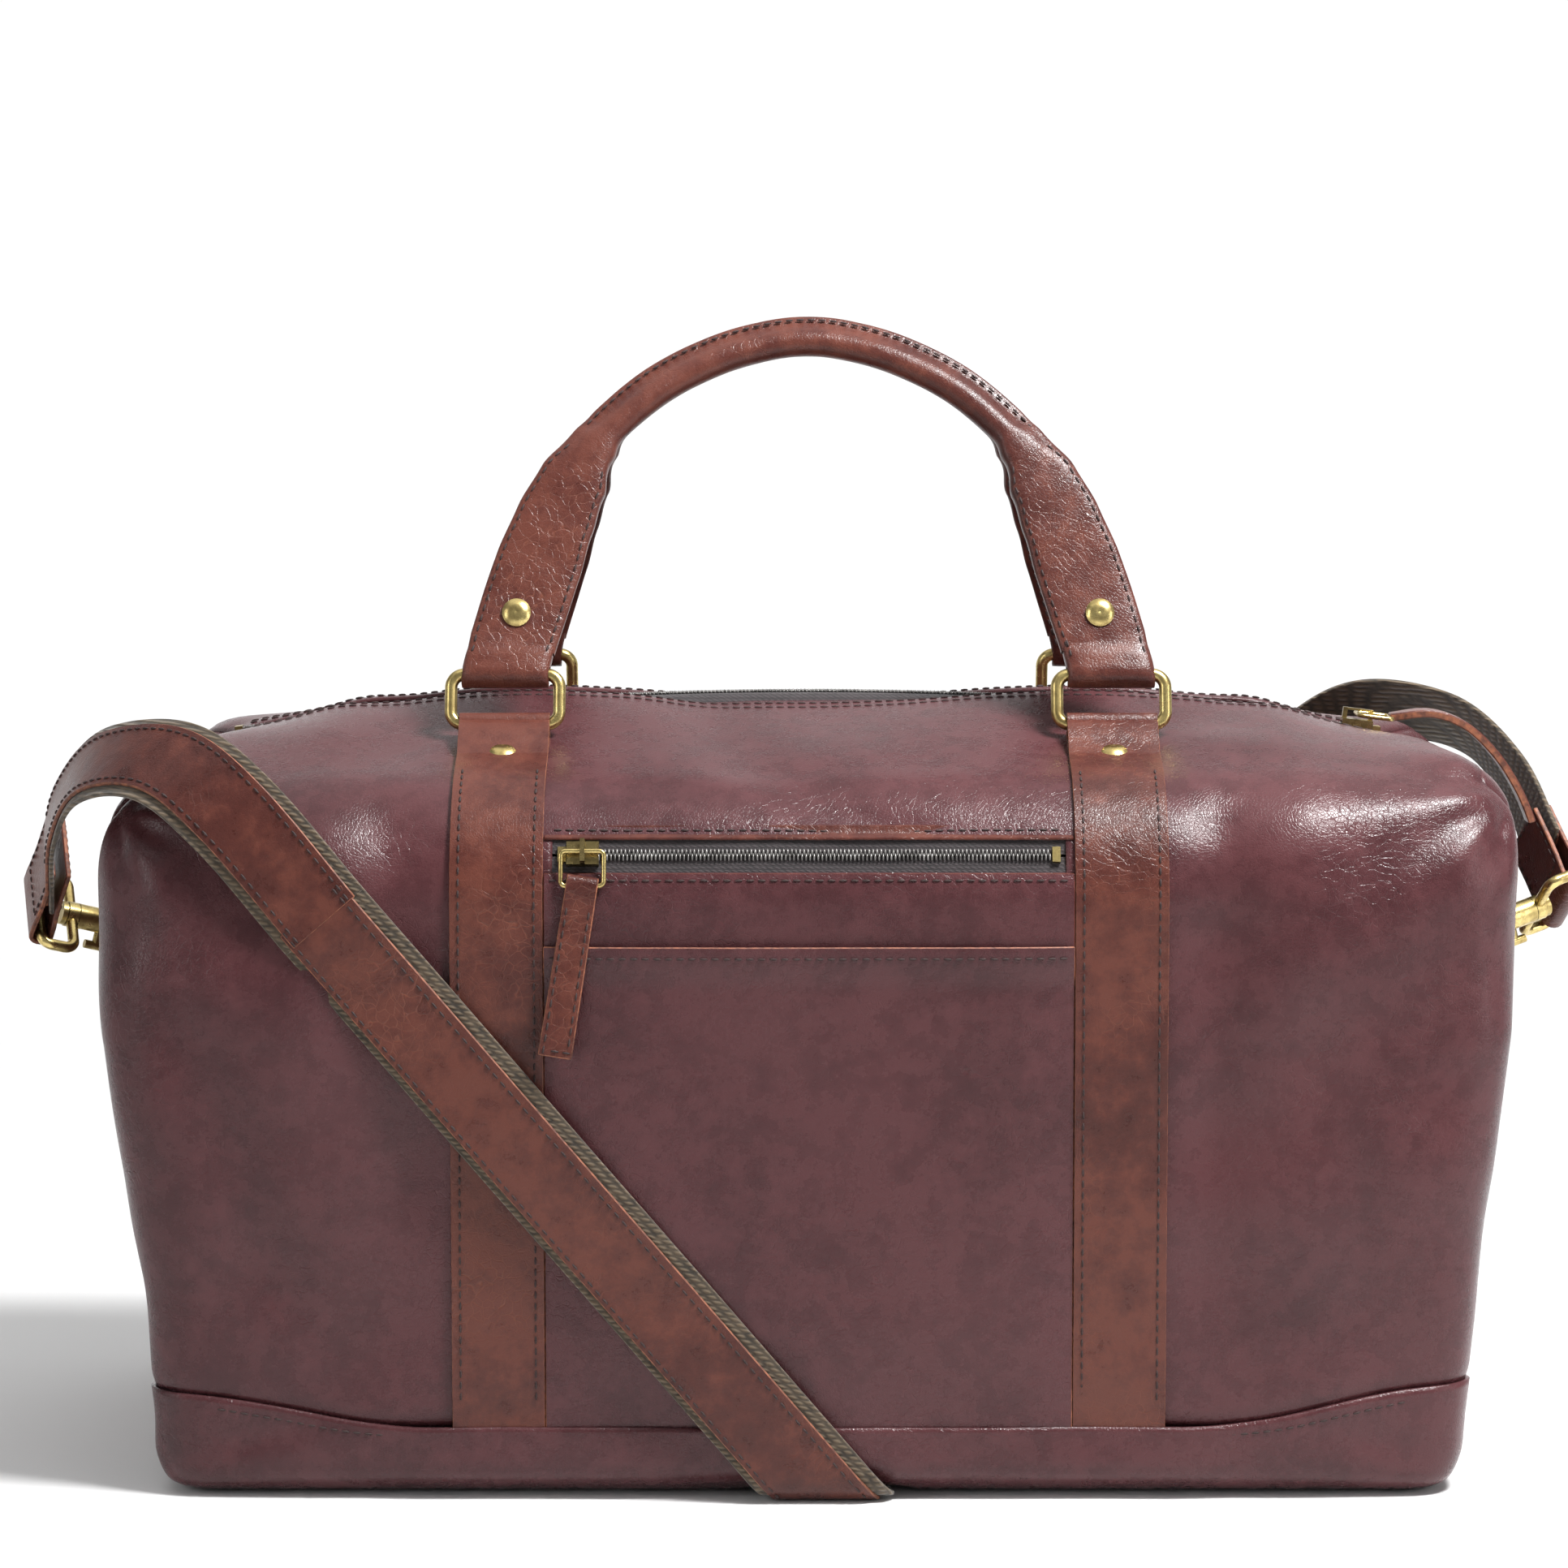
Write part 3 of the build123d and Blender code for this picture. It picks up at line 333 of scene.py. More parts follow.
def roofHeight(x, y):
    shape = bagShape
    roof = shape["ridge"] - max(abs(y) - shape["ridgeHalf"], 0) * math.tan(shape["roofSlope"])
    crown = shape["ridge"] - x * x / (2 * shape["crownRadius"])
    wave = math.sin(math.pi * min(max((abs(x) - 0.03) / 0.185, 0), 1)) ** 2
    dip = (shape["dip"] * (1 - smooth(0.0, 0.075, abs(x))) * smooth(0.004, 0.014, abs(y))
           * (1 - smooth(0.03, 0.08, abs(y))))
    return softMin(roof, crown, 0.012) + shape["saddle"] * wave * (1 - smooth(0.0, 0.05, abs(y))) - dip


def bandTop(x, y):
    lift = bagShape["bandLift"] * (1.0 if x > 0 else 0.8)
    return bagShape["bandHeight"] + lift * smooth(0.15, 0.25, abs(x)) * (0.55 + 0.45 * smooth(0.06, 0.12, abs(y)))


def bagPoint(a, b, c):
    # a point of a cube of half size 1 becomes a point of the bag
    shape = bagShape
    halfLength, halfDepth, tall = shape["halfLength"], shape["halfDepth"], shape["height"]
    height = (c + 1) / 2
    edgeRow = shape["bandRows"] / shape["rows"]
    nominalBand = shape["bandHeight"] / tall
    if height < edgeRow:
        level = height / edgeRow * nominalBand
    else:
        level = nominalBand + (height - edgeRow) / (1 - edgeRow) * (1 - nominalBand)
    z = level * tall
    # rounded corners and edges
    topping = smooth(0.17, 0.235, z)
    radii = (mix(shape["cornerRadius"], 0.027, topping), mix(0.020, 0.040, topping))
    x, y = a * halfLength, b * halfDepth
    innerX = min(max(x, -halfLength + radii[0]), halfLength - radii[0])
    innerY = min(max(y, -halfDepth + radii[1]), halfDepth - radii[1])
    lowZ, highZ = shape["footRadius"], tall - shape["topRadius"]
    innerZ = min(max(z, lowZ), highZ)
    radiusZ = shape["footRadius"] if z < lowZ else shape["topRadius"]
    q = Vector(((x - innerX) / radii[0], (y - innerY) / radii[1], (z - innerZ) / radiusZ))
    if q.length > 1e-6:
        q.normalize()
        x, y, z = innerX + q.x * radii[0], innerY + q.y * radii[1], innerZ + q.z * radiusZ
    z = z / tall * roofHeight(x, y) if z > 0 else 0
    # the band's edge rises at the corners, and eases out above it
    lifted = bandTop(x, y) - shape["bandHeight"]
    if z > 0.004:
        z += lifted * smooth(0.004, 0.028, z) * (1 - smooth(0.03, 0.16, z))
    # the shoulder follows a true arc except near the ears
    arcShare = (1 - smooth(0.205, 0.243, abs(x))) * (1 if z > shape["shoulderStart"] else 0)
    if arcShare and abs(y) > 0.0895:
        out = Vector((abs(y) - shoulderY, z - shape["shoulderStart"]))
        out = out.normalized() * shape["shoulder"]
        y = mix(y, math.copysign(shoulderY + out.x, y), arcShare)
        z = mix(z, shape["shoulderStart"] + out.y, arcShare)
    # ends lean outwards, and the gussets fold in
    x *= (halfLength - shape["taper"] * (1 - z / tall)) / halfLength
    swell = shape["earSwell"] * smooth(0.05, 0.20, z) * smooth(0.035, 0.085, abs(y)) * smooth(0.16, 0.24, abs(x))
    x += math.copysign(swell, x)
    depth = shape["tuckDepth"] * max(z - shape["tuckStart"], 0) / 0.125
    fold = depth * (1 - smooth(0.010, 0.050, abs(y)))
    if abs(x) > 0.19:
        x -= math.copysign(fold * smooth(0.19, 0.262, abs(x)), x)
    return Vector((x, y, z))


def leatherSag(x, y, z):
    # slow swells and hollows of the filled bag, outwards positive
    front = y < 0
    swell = 0.0
    ends = smooth(0.135, 0.20, abs(x)) * (1 - smooth(0.215, 0.262, abs(x)))
    upper = smooth(0.05, 0.12, z) * (1 - smooth(0.19, 0.26, z))
    swell += 0.0045 * ends * upper
    valley = math.exp(-((abs(x) - 0.150 - 0.02 * (z - 0.1)) / 0.010) ** 2) * smooth(0.05, 0.16, z)
    swell -= (0.0040 if x > 0 else 0.0020) * valley * (1 - smooth(0.25, 0.27, z))
    ridgeX = 0.183 if front else 0.176
    swell += 0.0025 * math.exp(-((abs(x) - ridgeX) / 0.014) ** 2) * smooth(0.13, 0.22, z)
    place = Vector((x * 9.0, y * 9.0 + (3.0 if front else 8.0), z * 9.0))
    broad = noise.noise(place) * 0.0046
    medium = noise.noise(place * 2.7) * 0.0022
    quiet = 1 - 0.8 * (1 - smooth(0.125, 0.150, abs(x))) * smooth(0.03, 0.05, z)
    quiet *= smooth(0.0, 0.03, z) * (1 - 0.75 * smooth(0.255, 0.275, z) * (1 - smooth(0.03, 0.07, abs(y))))
    quiet *= 1 - 0.9 * (1 - smooth(0.018, 0.034, abs(abs(x) - 0.116))) * smooth(0.245, 0.262, z)
    swell += (broad + medium) * quiet
    if front and x > 0.14:
        bend = x - 0.196 - 0.012 * math.sin(z * 22)
        swell -= 0.0026 * math.exp(-(bend / 0.009) ** 2) * smooth(0.05, 0.10, z) * (1 - smooth(0.17, 0.21, z))
    if front and x < -0.13:
        bend = x + 0.205 + (z - 0.10) * 0.35
        swell -= 0.0028 * math.exp(-(bend / 0.010) ** 2) * smooth(0.05, 0.09, z) * (1 - smooth(0.15, 0.20, z))
    if front:
        away = (x + 0.015) * 0.46 + (z - 0.272) * 0.89
        swell -= (0.0030 * math.exp(-(away / 0.010) ** 2) * smooth(-0.07, -0.02, x)
                  * (1 - smooth(0.05, 0.09, x)) * smooth(0.245, 0.256, z))
    # sharp dents at the lower corners
    corner = Vector((abs(x) - 0.222, z - 0.018))
    if front and corner.length < 0.05 and abs(y) > 0.09:
        swell -= 0.0030 * math.exp(-((corner.y + corner.x * 0.35) / 0.0050) ** 2) * (1 - corner.length / 0.05)
    # puckers that run in from the ears
    if abs(x) > 0.16 and z > 0.17:
        ray = Vector((abs(x) - 0.262, z - 0.262))
        turn = math.atan2(-ray.x, -ray.y)
        fade = math.exp(-ray.length / 0.045) * smooth(0.0, 0.02, ray.length)
        swell += 0.0028 * math.sin(turn * 9 + (1.0 if x > 0 else 2.4)) * fade
    return swell


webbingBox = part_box("shoulder_strap_webbing")
strapRun = {
    "foot": 0.007,              # where the strap turns under the base
    "half": 0.019,
    "rise": math.radians(40.6),
    "top": webbingBox[1].z,
}


def grooveHeight(x, y):
    middle = -y * strapRun["foot"] / bagShape["halfDepth"]
    wide = mix(strapRun["half"], strapRun["half"] / math.cos(strapRun["rise"]), smooth(0.10, 0.125, abs(y)))
    return 0.0042 * (1 - smooth(wide + 0.003, wide + 0.010, abs(x - middle)))


deselectAll()
bpy.ops.mesh.primitive_cube_add(size=2)
bagForm = bpy.context.object
bagForm.name = "bagForm"
bpy.ops.object.mode_set(mode="EDIT")
bpy.ops.mesh.select_all(action="SELECT")
bpy.ops.mesh.subdivide(number_cuts=bagShape["rows"] - 1)
bpy.ops.object.mode_set(mode="OBJECT")
cubePlaces = [v.co.copy() for v in bagForm.data.vertices]
for v, cube in zip(bagForm.data.vertices, cubePlaces):
    v.co = bagPoint(cube.x, cube.y, cube.z)
bagForm.data.update()
normals = [v.normal.copy() for v in bagForm.data.vertices]
for v, normal in zip(bagForm.data.vertices, normals):
    v.co = v.co + normal * leatherSag(*v.co)
    v.co.z = max(v.co.z, 0.0002)
    if v.co.z < 0.012:
        v.co.z = max(v.co.z, grooveHeight(v.co.x, v.co.y))
bagForm.data.update()
print("bag form shaped:", len(bagForm.data.vertices), "points")

# panels are cut from the form along its seams
panelOfFace = {}
step = 2 / bagShape["rows"]
bandLevel = -1 + step * bagShape["bandRows"]
for face in bagForm.data.polygons:
    centre = sum((cubePlaces[i] for i in face.vertices), Vector()) / len(face.vertices)
    onEnd = abs(centre.x) > 0.999
    onTop = centre.z > 0.999
    if centre.z < bandLevel:
        panel = "base_panel"
    elif onEnd and abs(centre.y) < bagShape["endHalf"]:
        panel = "left_end_panel" if centre.x < 0 else "right_end_panel"
    elif onTop and abs(centre.y) < bagShape["slotHalf"] and abs(centre.x) < bagShape["slotEnd"]:
        panel = None
    elif onTop and abs(centre.x) > bagShape["slotEnd"] and abs(centre.y) < bagShape["endHalf"]:
        panel = "left_end_panel" if centre.x < 0 else "right_end_panel"
    else:
        panel = "front_panel" if centre.y < 0 else "rear_panel"
    panelOfFace[face.index] = panel

formTree = BVHTree.FromPolygons([v.co for v in bagForm.data.vertices],
                                [list(f.vertices) for f in bagForm.data.polygons])


def cutPanel(name, lift, thickness):
    keep = [index for index, panel in panelOfFace.items() if panel == name]
    used = sorted({i for index in keep for i in bagForm.data.polygons[index].vertices})
    number = {old: new for new, old in enumerate(used)}
    counts = {}
    for index in keep:
        face = bagForm.data.polygons[index]
        for edge in face.edge_keys:
            counts[edge] = counts.get(edge, 0) + 1
    rim = {i for edge, count in counts.items() if count == 1 for i in edge}
    data = bpy.data.meshes.new(name + "_leather")
    places = []
    for i in used:
        point = bagForm.data.vertices[i]
        sink = lift - (0.0011 if i in rim else 0.0)
        if name == "base_panel":
            lap = 0.0022 * (1 - smooth(0.140, 0.165, abs(point.co.x))) * smooth(0.10, 0.12, abs(point.co.y))
            sink = (lift + lap) * smooth(0.004, 0.012, point.co.z)
        places.append(point.co + point.normal * sink)
    data.from_pydata(places, [], [[number[i] for i in bagForm.data.polygons[k].vertices] for k in keep])
    panel = bpy.data.objects.new(name + "_leather", data)
    bpy.context.scene.collection.objects.link(panel)
    panel.data.materials.append(bodyLeather)
    panel.data.materials.append(cutEdge)
    selectOnly(panel)
    applyModifier(panel, "SUBSURF", levels=1, render_levels=1)
    applyModifier(panel, "SOLIDIFY", thickness=thickness, offset=-1, material_offset_rim=0)
    bpy.ops.object.shade_smooth()
    return panel


panels = {}
for name, lift, thickness in (
    ("front_panel", 0.0, 0.0018), ("rear_panel", 0.0, 0.0018), ("left_end_panel", -0.0004, 0.0018),
    ("right_end_panel", -0.0004, 0.0018), ("base_panel", 0.0008, 0.0022),
):
    panels[name] = cutPanel(name, lift, thickness)
    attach(panels[name], "bag")
    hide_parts(name)
bpy.data.objects.remove(bagForm)
print("panels cut")


# places on the bag's surface
def profile(run):
    # the front's side view, from the floor up: (y, z) and its outward normal
    start, radius = bagShape["shoulderStart"], bagShape["shoulder"]
    arc = radius * (math.pi / 2 - bagShape["roofSlope"])
    if run < start:
        return Vector((-bagShape["halfDepth"], run)), Vector((-1, 0))
    turn = min(run - start, arc) / radius
    normal = Vector((-math.cos(turn), math.sin(turn)))
    place = Vector((-shoulderY, start)) + normal * radius
    if run > start + arc:
        place += Vector((normal.y, -normal.x)) * (run - start - arc)
    return place, normal


def profileLength(y):
    # the run at which the roof reaches a place y in front of the middle
    arc = bagShape["shoulder"] * (math.pi / 2 - bagShape["roofSlope"])
    slopeEnd = shoulderY + bagShape["shoulder"] * math.sin(bagShape["roofSlope"])
    return bagShape["shoulderStart"] + arc + (slopeEnd - y) / math.cos(bagShape["roofSlope"])


def onBag(x, run, lift=0.0, side=-1):
    flat, flatNormal = profile(run)
    place = Vector((x, flat.x * -side, flat.y))
    normal = Vector((0, flatNormal.x * -side, flatNormal.y))
    hit = formTree.ray_cast(place + normal * 0.03, -normal, 0.06)[0]
    return (hit if hit else place) + normal * lift, normal


def finishPiece(piece, name, body, slotName, finish, replaced=()):
    # a piece given no body is not attached here
    piece.name = name
    piece.data.name = name
    if not piece.data.materials:
        piece.data.materials.append(finish)
    if body:
        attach(piece, body)
    if replaced:
        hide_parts(*replaced)
    return piece


def sheetPiece(columns, rows, place, thickness, finish, rim=None, offset=0.0, bevel=0.0003, closed=False):
    # a sheet laid by place(across, along), thickened, with its cut edge showing
    deselectAll()
    bpy.ops.mesh.primitive_grid_add(x_subdivisions=columns, y_subdivisions=rows, size=2)
    piece = bpy.context.object
    for v in piece.data.vertices:
        v.co = place((v.co.x + 1) / 2, (v.co.y + 1) / 2)
    piece.data.materials.append(finish)
    if rim:
        piece.data.materials.append(rim)
    if thickness:
        applyModifier(piece, "SOLIDIFY", thickness=thickness, offset=offset,
                      material_offset_rim=1 if rim else 0)
    if bevel:
        applyModifier(piece, "BEVEL", width=bevel, segments=1, limit_method="ANGLE", angle_limit=1.0)
    bpy.ops.object.shade_smooth_by_angle(angle=0.7)
    return piece


def tubePiece(around, along, place, finish):
    # a closed tube or loft laid by place(share round, share along)
    deselectAll()
    bpy.ops.mesh.primitive_grid_add(x_subdivisions=around, y_subdivisions=along, size=2)
    piece = bpy.context.object
    for v in piece.data.vertices:
        v.co = place((v.co.x + 1) / 2, (v.co.y + 1) / 2)
    cleanMesh(merge=0.00002, close=True)
    piece.data.materials.append(finish)
    bpy.ops.object.shade_smooth_by_angle(angle=0.9)
    return piece


def linedSheet(lines, thickness, finish, **settings):
    # a sheet through lines that lie side by side
    columns, rows = len(lines) - 1, len(lines[0]) - 1
    return sheetPiece(columns, rows, lambda u, w: lines[round(u * columns)][round(w * rows)],
                      thickness, finish, **settings)


def foldedStrip(straight, radius, step):
    # a strip's side view, folded round a bar: (reach from the bar, lift from its middle plane)
    turns = [math.radians(a) for a in range(0, 181, step)]
    fold = [(-radius * math.sin(turn), radius * math.cos(turn)) for turn in turns]
    return straight + fold + [(reach, -lift) for reach, lift in reversed(straight)]


# thread and teeth: one small bead is shaped once and laid many times
deselectAll()
bpy.ops.mesh.primitive_uv_sphere_add(segments=6, ring_count=4, radius=0.5)
beadShape = bpy.context.object
beadPoints = [v.co.copy() for v in beadShape.data.vertices]
beadFaces = [list(f.vertices) for f in beadShape.data.polygons]
bpy.data.objects.remove(beadShape)


def beadPiece(name, beads, body, slotName, finish, replaced=()):
    # beads: (middle, along, up, size) with size = (length, width, height)
    points, faces = [], []
    for middle, along, up, size in beads:
        along = along.normalized()
        across = up.cross(along).normalized()
        up = along.cross(across)
        start = len(points)
        points.extend(middle + along * (p.z * size[0]) + across * (p.x * size[1]) + up * (p.y * size[2])
                      for p in beadPoints)
        faces.extend([start + i for i in face] for face in beadFaces)
    data = bpy.data.meshes.new(name)
    data.from_pydata(points, [], faces)
    piece = bpy.data.objects.new(name, data)
    bpy.context.scene.collection.objects.link(piece)
    selectOnly(piece)
    bpy.ops.object.shade_smooth()
    return finishPiece(piece, name, body, slotName, finish, replaced)


stitchSize = {"length": 0.0031, "width": 0.00095, "height": 0.0009, "pitch": 0.0043}


def stitchRow(line, up):
    # line: points along the seam; up: a function that gives the surface normal at a share of it
    beads, walked, target = [], 0.0, stitchSize["pitch"] / 2
    total = sum((b - a).length for a, b in zip(line, line[1:]))
    size = (stitchSize["length"], stitchSize["width"], stitchSize["height"])
    for a, b in zip(line, line[1:]):
        gap = (b - a).length
        while gap > 0 and walked + gap >= target:
            beads.append((a + (b - a) * ((target - walked) / gap), b - a, up(target / total), size))
            target += stitchSize["pitch"]
        walked += gap
    return beads


def corneredStitches(corners, count, place, up):
    # a row round the corners, each a (reach, across) that place() puts on the piece
    line = []
    for a, b in zip(corners, corners[1:]):
        line += [place(Vector(a).lerp(Vector(b), i / count)) for i in range(count)]
    return stitchRow(line, up)


def bagStitches(xs, runs, lift, side=-1):
    # a row on the bag from (x, run) to (x, run)
    count = max(int(max(abs(xs[1] - xs[0]), abs(runs[1] - runs[0])) / 0.002), 2)
    places = [onBag(mix(*xs, i / count), mix(*runs, i / count), lift, side) for i in range(count + 1)]
    return stitchRow([p for p, n in places], lambda share: places[int(share * count)][1])


print("tools ready")

# straps up the front and back, each folded round the ring it carries
strap = {
    "half": 0.01725,
    "thickness": 0.0022,
    "lift": 0.0011,
    "doubled": 0.0002,
    "loop": 0.0042,
    "edge": 0.0032,             # from the cut edge to the stitches
    "threadLift": 0.0013,
    "start": 0.022,             # how far up the front its foot is
    "points": 90,
    "columns": 10,
}
ringBar = joints["front_ring_left_swing"]["pos_m"]


def strapLine(x, side):
    last = profileLength(0.076)
    line = []
    for i in range(strap["points"]):
        run = mix(strap["start"], last, i / (strap["points"] - 1))
        rise = strap["doubled"] * smooth(profileLength(0.097), profileLength(0.088), run)
        flat, flatNormal = profile(run)
        true = Vector((x, side * -flat.x, flat.y))
        true += Vector((0, side * -flatNormal.x, flatNormal.y)) * strap["lift"]
        trueShare = smooth(profileLength(0.112), profileLength(0.092), run)
        line.append(onBag(x, run, strap["lift"] + rise, side)[0].lerp(true, trueShare))
    centre = Vector((x, ringBar[1] * -side, ringBar[2]))
    ring = [centre + Vector((0, side * math.cos(math.radians(a)), math.sin(math.radians(a)))) * strap["loop"]
            for a in range(70, -121, -10)]
    back = [onBag(x, profileLength(y), 0.0004, side)[0] for y in (0.064, 0.070)]
    join = [line[-1].lerp(ring[0], t) + Vector((0, 0, 0.0008 * math.sin(math.pi * t))) for t in (0.33, 0.67)]
    return line + join + ring + back


for side, face in ((-1, "front"), (1, "rear")):
    for x, hand in ((-0.116, "left"), (0.116, "right")):
        columns = strap["columns"]
        lines = [strapLine(x + strap["half"] * (2 * i / columns - 1), side) for i in range(columns + 1)]
        piece = linedSheet(lines, strap["thickness"], strapLeather, rim=cutEdge, bevel=0.0005)
        node = f"{face}_strap_{hand}"
        finishPiece(piece, node + "_leather", "bag", "strap_leather", strapLeather, [node])
        beads = []
        for edge in (-1, 1):
            # the row stops short of the foot and the ring
            line = strapLine(x + edge * (strap["half"] - strap["edge"]), side)[5:84]
            outs = []
            for before, after in zip(line, line[1:] + line[-1:]):
                way = (after - before).normalized() if after != before else outs[-1].cross(Vector((1, 0, 0)))
                out = way.cross(Vector((1, 0, 0)))
                outs.append(out if out.y * side > 0 or out.z > 0.1 else -out)
            line = [p + n * strap["threadLift"] for p, n in zip(line, outs)]
            beads += stitchRow(line, lambda share: outs[round(share * (len(outs) - 1))])
        beadPiece(node + "_stitching", beads, "bag", "strap_leather", threadFinish)
print("straps done")


# pocket panel, its facing and the zip above it
pocket = {
    "half": 0.0985, "bottom": 0.024, "top": 0.2095, "bulge": 0.0034, "thickness": 0.0014,
    "facingBottom": 0.2060, "facingTop": 0.2362, "facingThickness": 0.0015,
    "openingHalf": 0.0953, "openingHeight": 0.0135,
    "zipRun": 0.2436,           # how far up the front the zip's middle is
    "panelStitches": 0.2052, "facingStitches": 0.2335, "topStitches": 0.2535,
    "weltThickness": 0.0012, "tapeWide": 0.0078, "teethHalf": 0.0897, "teeth": 119,
}
zipSize = {"tape": 0.0007, "tooth": (0.0031, 0.00095, 0.0019)}


def pocketLift(x, run):
    share = min(abs(x) / pocket["half"], 1)
    bulge = pocket["bulge"] * (1 - share ** 5) * smooth(0.02, 0.07, run) * (1 - 0.55 * smooth(0.19, 0.235, run))
    ripple = noise.noise(Vector((x * 14, run * 10, 4.0))) * 0.0009
    lip = 0.0020 * smooth(0.193, 0.2085, run)
    return 0.0008 + bulge + lip + ripple * (1 - share ** 4)


def facingLift(x, run):
    rounded = 0.0006 * smooth(0.2325, pocket["facingTop"], run)
    return 0.0012 - rounded + noise.noise(Vector((x * 20, run * 12, 7.0))) * 0.0004


def facePlace(x, run, lift):
    place, normal = onBag(x, run, 0.0)
    smoothPlace = profile(run)[0]
    if abs(x) < 0.1:
        place = Vector((x, smoothPlace.x, smoothPlace.y)).lerp(place, 0.35)
    return place + normal * lift


def facePiece(node, rows, low, high, lift, thickness, rim):
    def place(u, w):
        x, run = mix(-1, 1, u) * pocket["half"], mix(low, high, w)
        return facePlace(x, run, lift(x, run))
    piece = sheetPiece(56, rows, place, thickness, bodyLeather, rim=rim, bevel=0.0004)
    finishPiece(piece, node + "_leather", "bag", "body_leather", bodyLeather, [node])


def profileNormal(run):
    normal = profile(run)[1]
    return Vector((0, normal.x, normal.y))


def pocketStitches(run, lift):
    line = [facePlace(x / 1000, run, lift(x / 1000, run) + 0.0010) for x in range(-97, 98, 2)]
    return stitchRow(line, lambda share: profileNormal(run))


facePiece("front_pocket_panel", 84, pocket["bottom"], pocket["top"], pocketLift, pocket["thickness"], cutEdge)
facePiece("front_pocket_facing", 16, pocket["facingBottom"], pocket["facingTop"], facingLift,
          pocket["facingThickness"], strapLeather)
beads = pocketStitches(pocket["panelStitches"], pocketLift)
beads += pocketStitches(pocket["facingStitches"], facingLift)
beads += bagStitches((-0.0955, 0.0955), (pocket["topStitches"],) * 2, 0.0001)
beadPiece("front_pocket_stitching", beads, "bag", "body_leather", threadFinish)

# the zip's opening is cut through the front
coilLow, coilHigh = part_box("pocket_zip_coil_lower"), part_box("pocket_zip_coil_upper")
zipMiddle = Vector((0, (coilLow[0].y + coilHigh[1].y) / 2, (coilLow[1].z + coilHigh[0].z) / 2))
zipOut = profileNormal(pocket["zipRun"])
zipUp = Vector((0, zipOut.z, -zipOut.y))
deselectAll()
bpy.ops.mesh.primitive_cube_add(size=1)
cutter = bpy.context.object
for v in cutter.data.vertices:
    v.co = (zipMiddle + Vector((v.co.x * 2 * pocket["openingHalf"], 0, 0))
            + zipUp * (v.co.z * pocket["openingHeight"]) + zipOut * (v.co.y * 0.03))
selectOnly(cutter)
cleanMesh()
cutWith(panels["front_panel"], cutter)

piece = sheetPiece(60, 5, lambda u, w: zipMiddle + Vector((mix(-1, 1, u) * pocket["half"], 0, 0))
                   + zipUp * mix(0.0058, 0.0122, w) - zipOut * (-0.0006 + 0.0026 * smooth(0.0, 0.5, w)),
                   pocket["weltThickness"], strapLeather, bevel=0.0004)
finishPiece(piece, "front_pocket_welt_leather", "bag", "body_leather", strapLeather, ["front_pocket_welt"])


def tapePiece(node, columns, rows, place):
    piece = sheetPiece(columns, rows, place, zipSize["tape"], zipCloth, bevel=0)
    finishPiece(piece, node + "_cloth", "bag", "zip_tape", zipCloth, [node])


def teethPiece(node, count, tooth):
    # tooth(i) gives a tooth's middle, its way and its up
    beads = [(*tooth(i), zipSize["tooth"]) for i in range(count)]
    beadPiece(node + "_teeth", beads, "bag", "zip_coil", zipTooth, [node])


def pocketTape(low, high, sign):
    def place(u, w):
        x = mix(-1, 1, u) * pocket["openingHalf"]
        along = mix(low, high, w)
        wave = 0.0003 * math.sin(x * 90) * (1 - w if sign > 0 else w)
        return zipMiddle + Vector((x, 0, 0)) + zipUp * along - zipOut * (0.0009 + wave)
    return place


def pocketTooth(sign):
    def tooth(i):
        place = (i + (0.25 if sign < 0 else -0.25) + 0.5) / pocket["teeth"]
        x = mix(-pocket["teethHalf"], pocket["teethHalf"], place)
        return zipMiddle + Vector((x, 0, 0)) + zipUp * (sign * 0.0009) + zipOut * 0.0002, zipUp, zipOut
    return tooth


for name, low, high, sign in (("lower", -pocket["tapeWide"], -0.0006, -1),
                              ("upper", 0.0006, pocket["tapeWide"], 1)):
    tapePiece(f"pocket_zip_tape_{name}", 60, 4, pocketTape(low, high, sign))
    teethPiece(f"pocket_zip_coil_{name}", pocket["teeth"], pocketTooth(sign))
print("pocket done")

# main zip
mainZip = {
    "centre": joints["main_zip_travel"]["pos_m"][2],
    "half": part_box("main_zip_coil_front")[1].x,
    "radius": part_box("main_zip_coil_front")[1].z - 0.0010 - joints["main_zip_travel"]["pos_m"][2],
    "teeth": 297,
    "tapeWide": 0.0150,
    "tapeShare": 0.985,         # the tapes stop short of the teeth's ends
    "stitchRows": (0.0125, 0.0175),
}
zipTurn = math.asin(mainZip["half"] / mainZip["radius"])


def zipPlace(angle, y, lift):
    reach = mainZip["radius"] + lift
    return Vector((reach * math.sin(angle), y, mainZip["centre"] + reach * math.cos(angle)))


def mainTape(sign):
    def place(u, w):
        angle = mix(-1, 1, u) * zipTurn * mainZip["tapeShare"]
        y = sign * mix(0.0005, mainZip["tapeWide"], w)
        point = zipPlace(angle, y, -0.0008)
        edge = roofHeight(point.x, y) - 0.0030 - 0.0030 * smooth(0.195, 0.222, abs(point.x))
        point.z = mix(point.z, edge, smooth(0.18, 0.62, w))
        return point
    return place


def mainTooth(sign):
    def tooth(i):
        angle = mix(-1, 1, (i + 0.5 + sign * 0.25) / mainZip["teeth"]) * zipTurn
        return zipPlace(angle, sign * 0.0008, 0), Vector((0, 1, 0)), Vector((math.sin(angle), 0, math.cos(angle)))
    return tooth


for name, sign in (("front", -1), ("rear", 1)):
    tapePiece(f"main_zip_tape_{name}", 90, 8, mainTape(sign))
    teethPiece(f"main_zip_coil_{name}", mainZip["teeth"], mainTooth(sign))


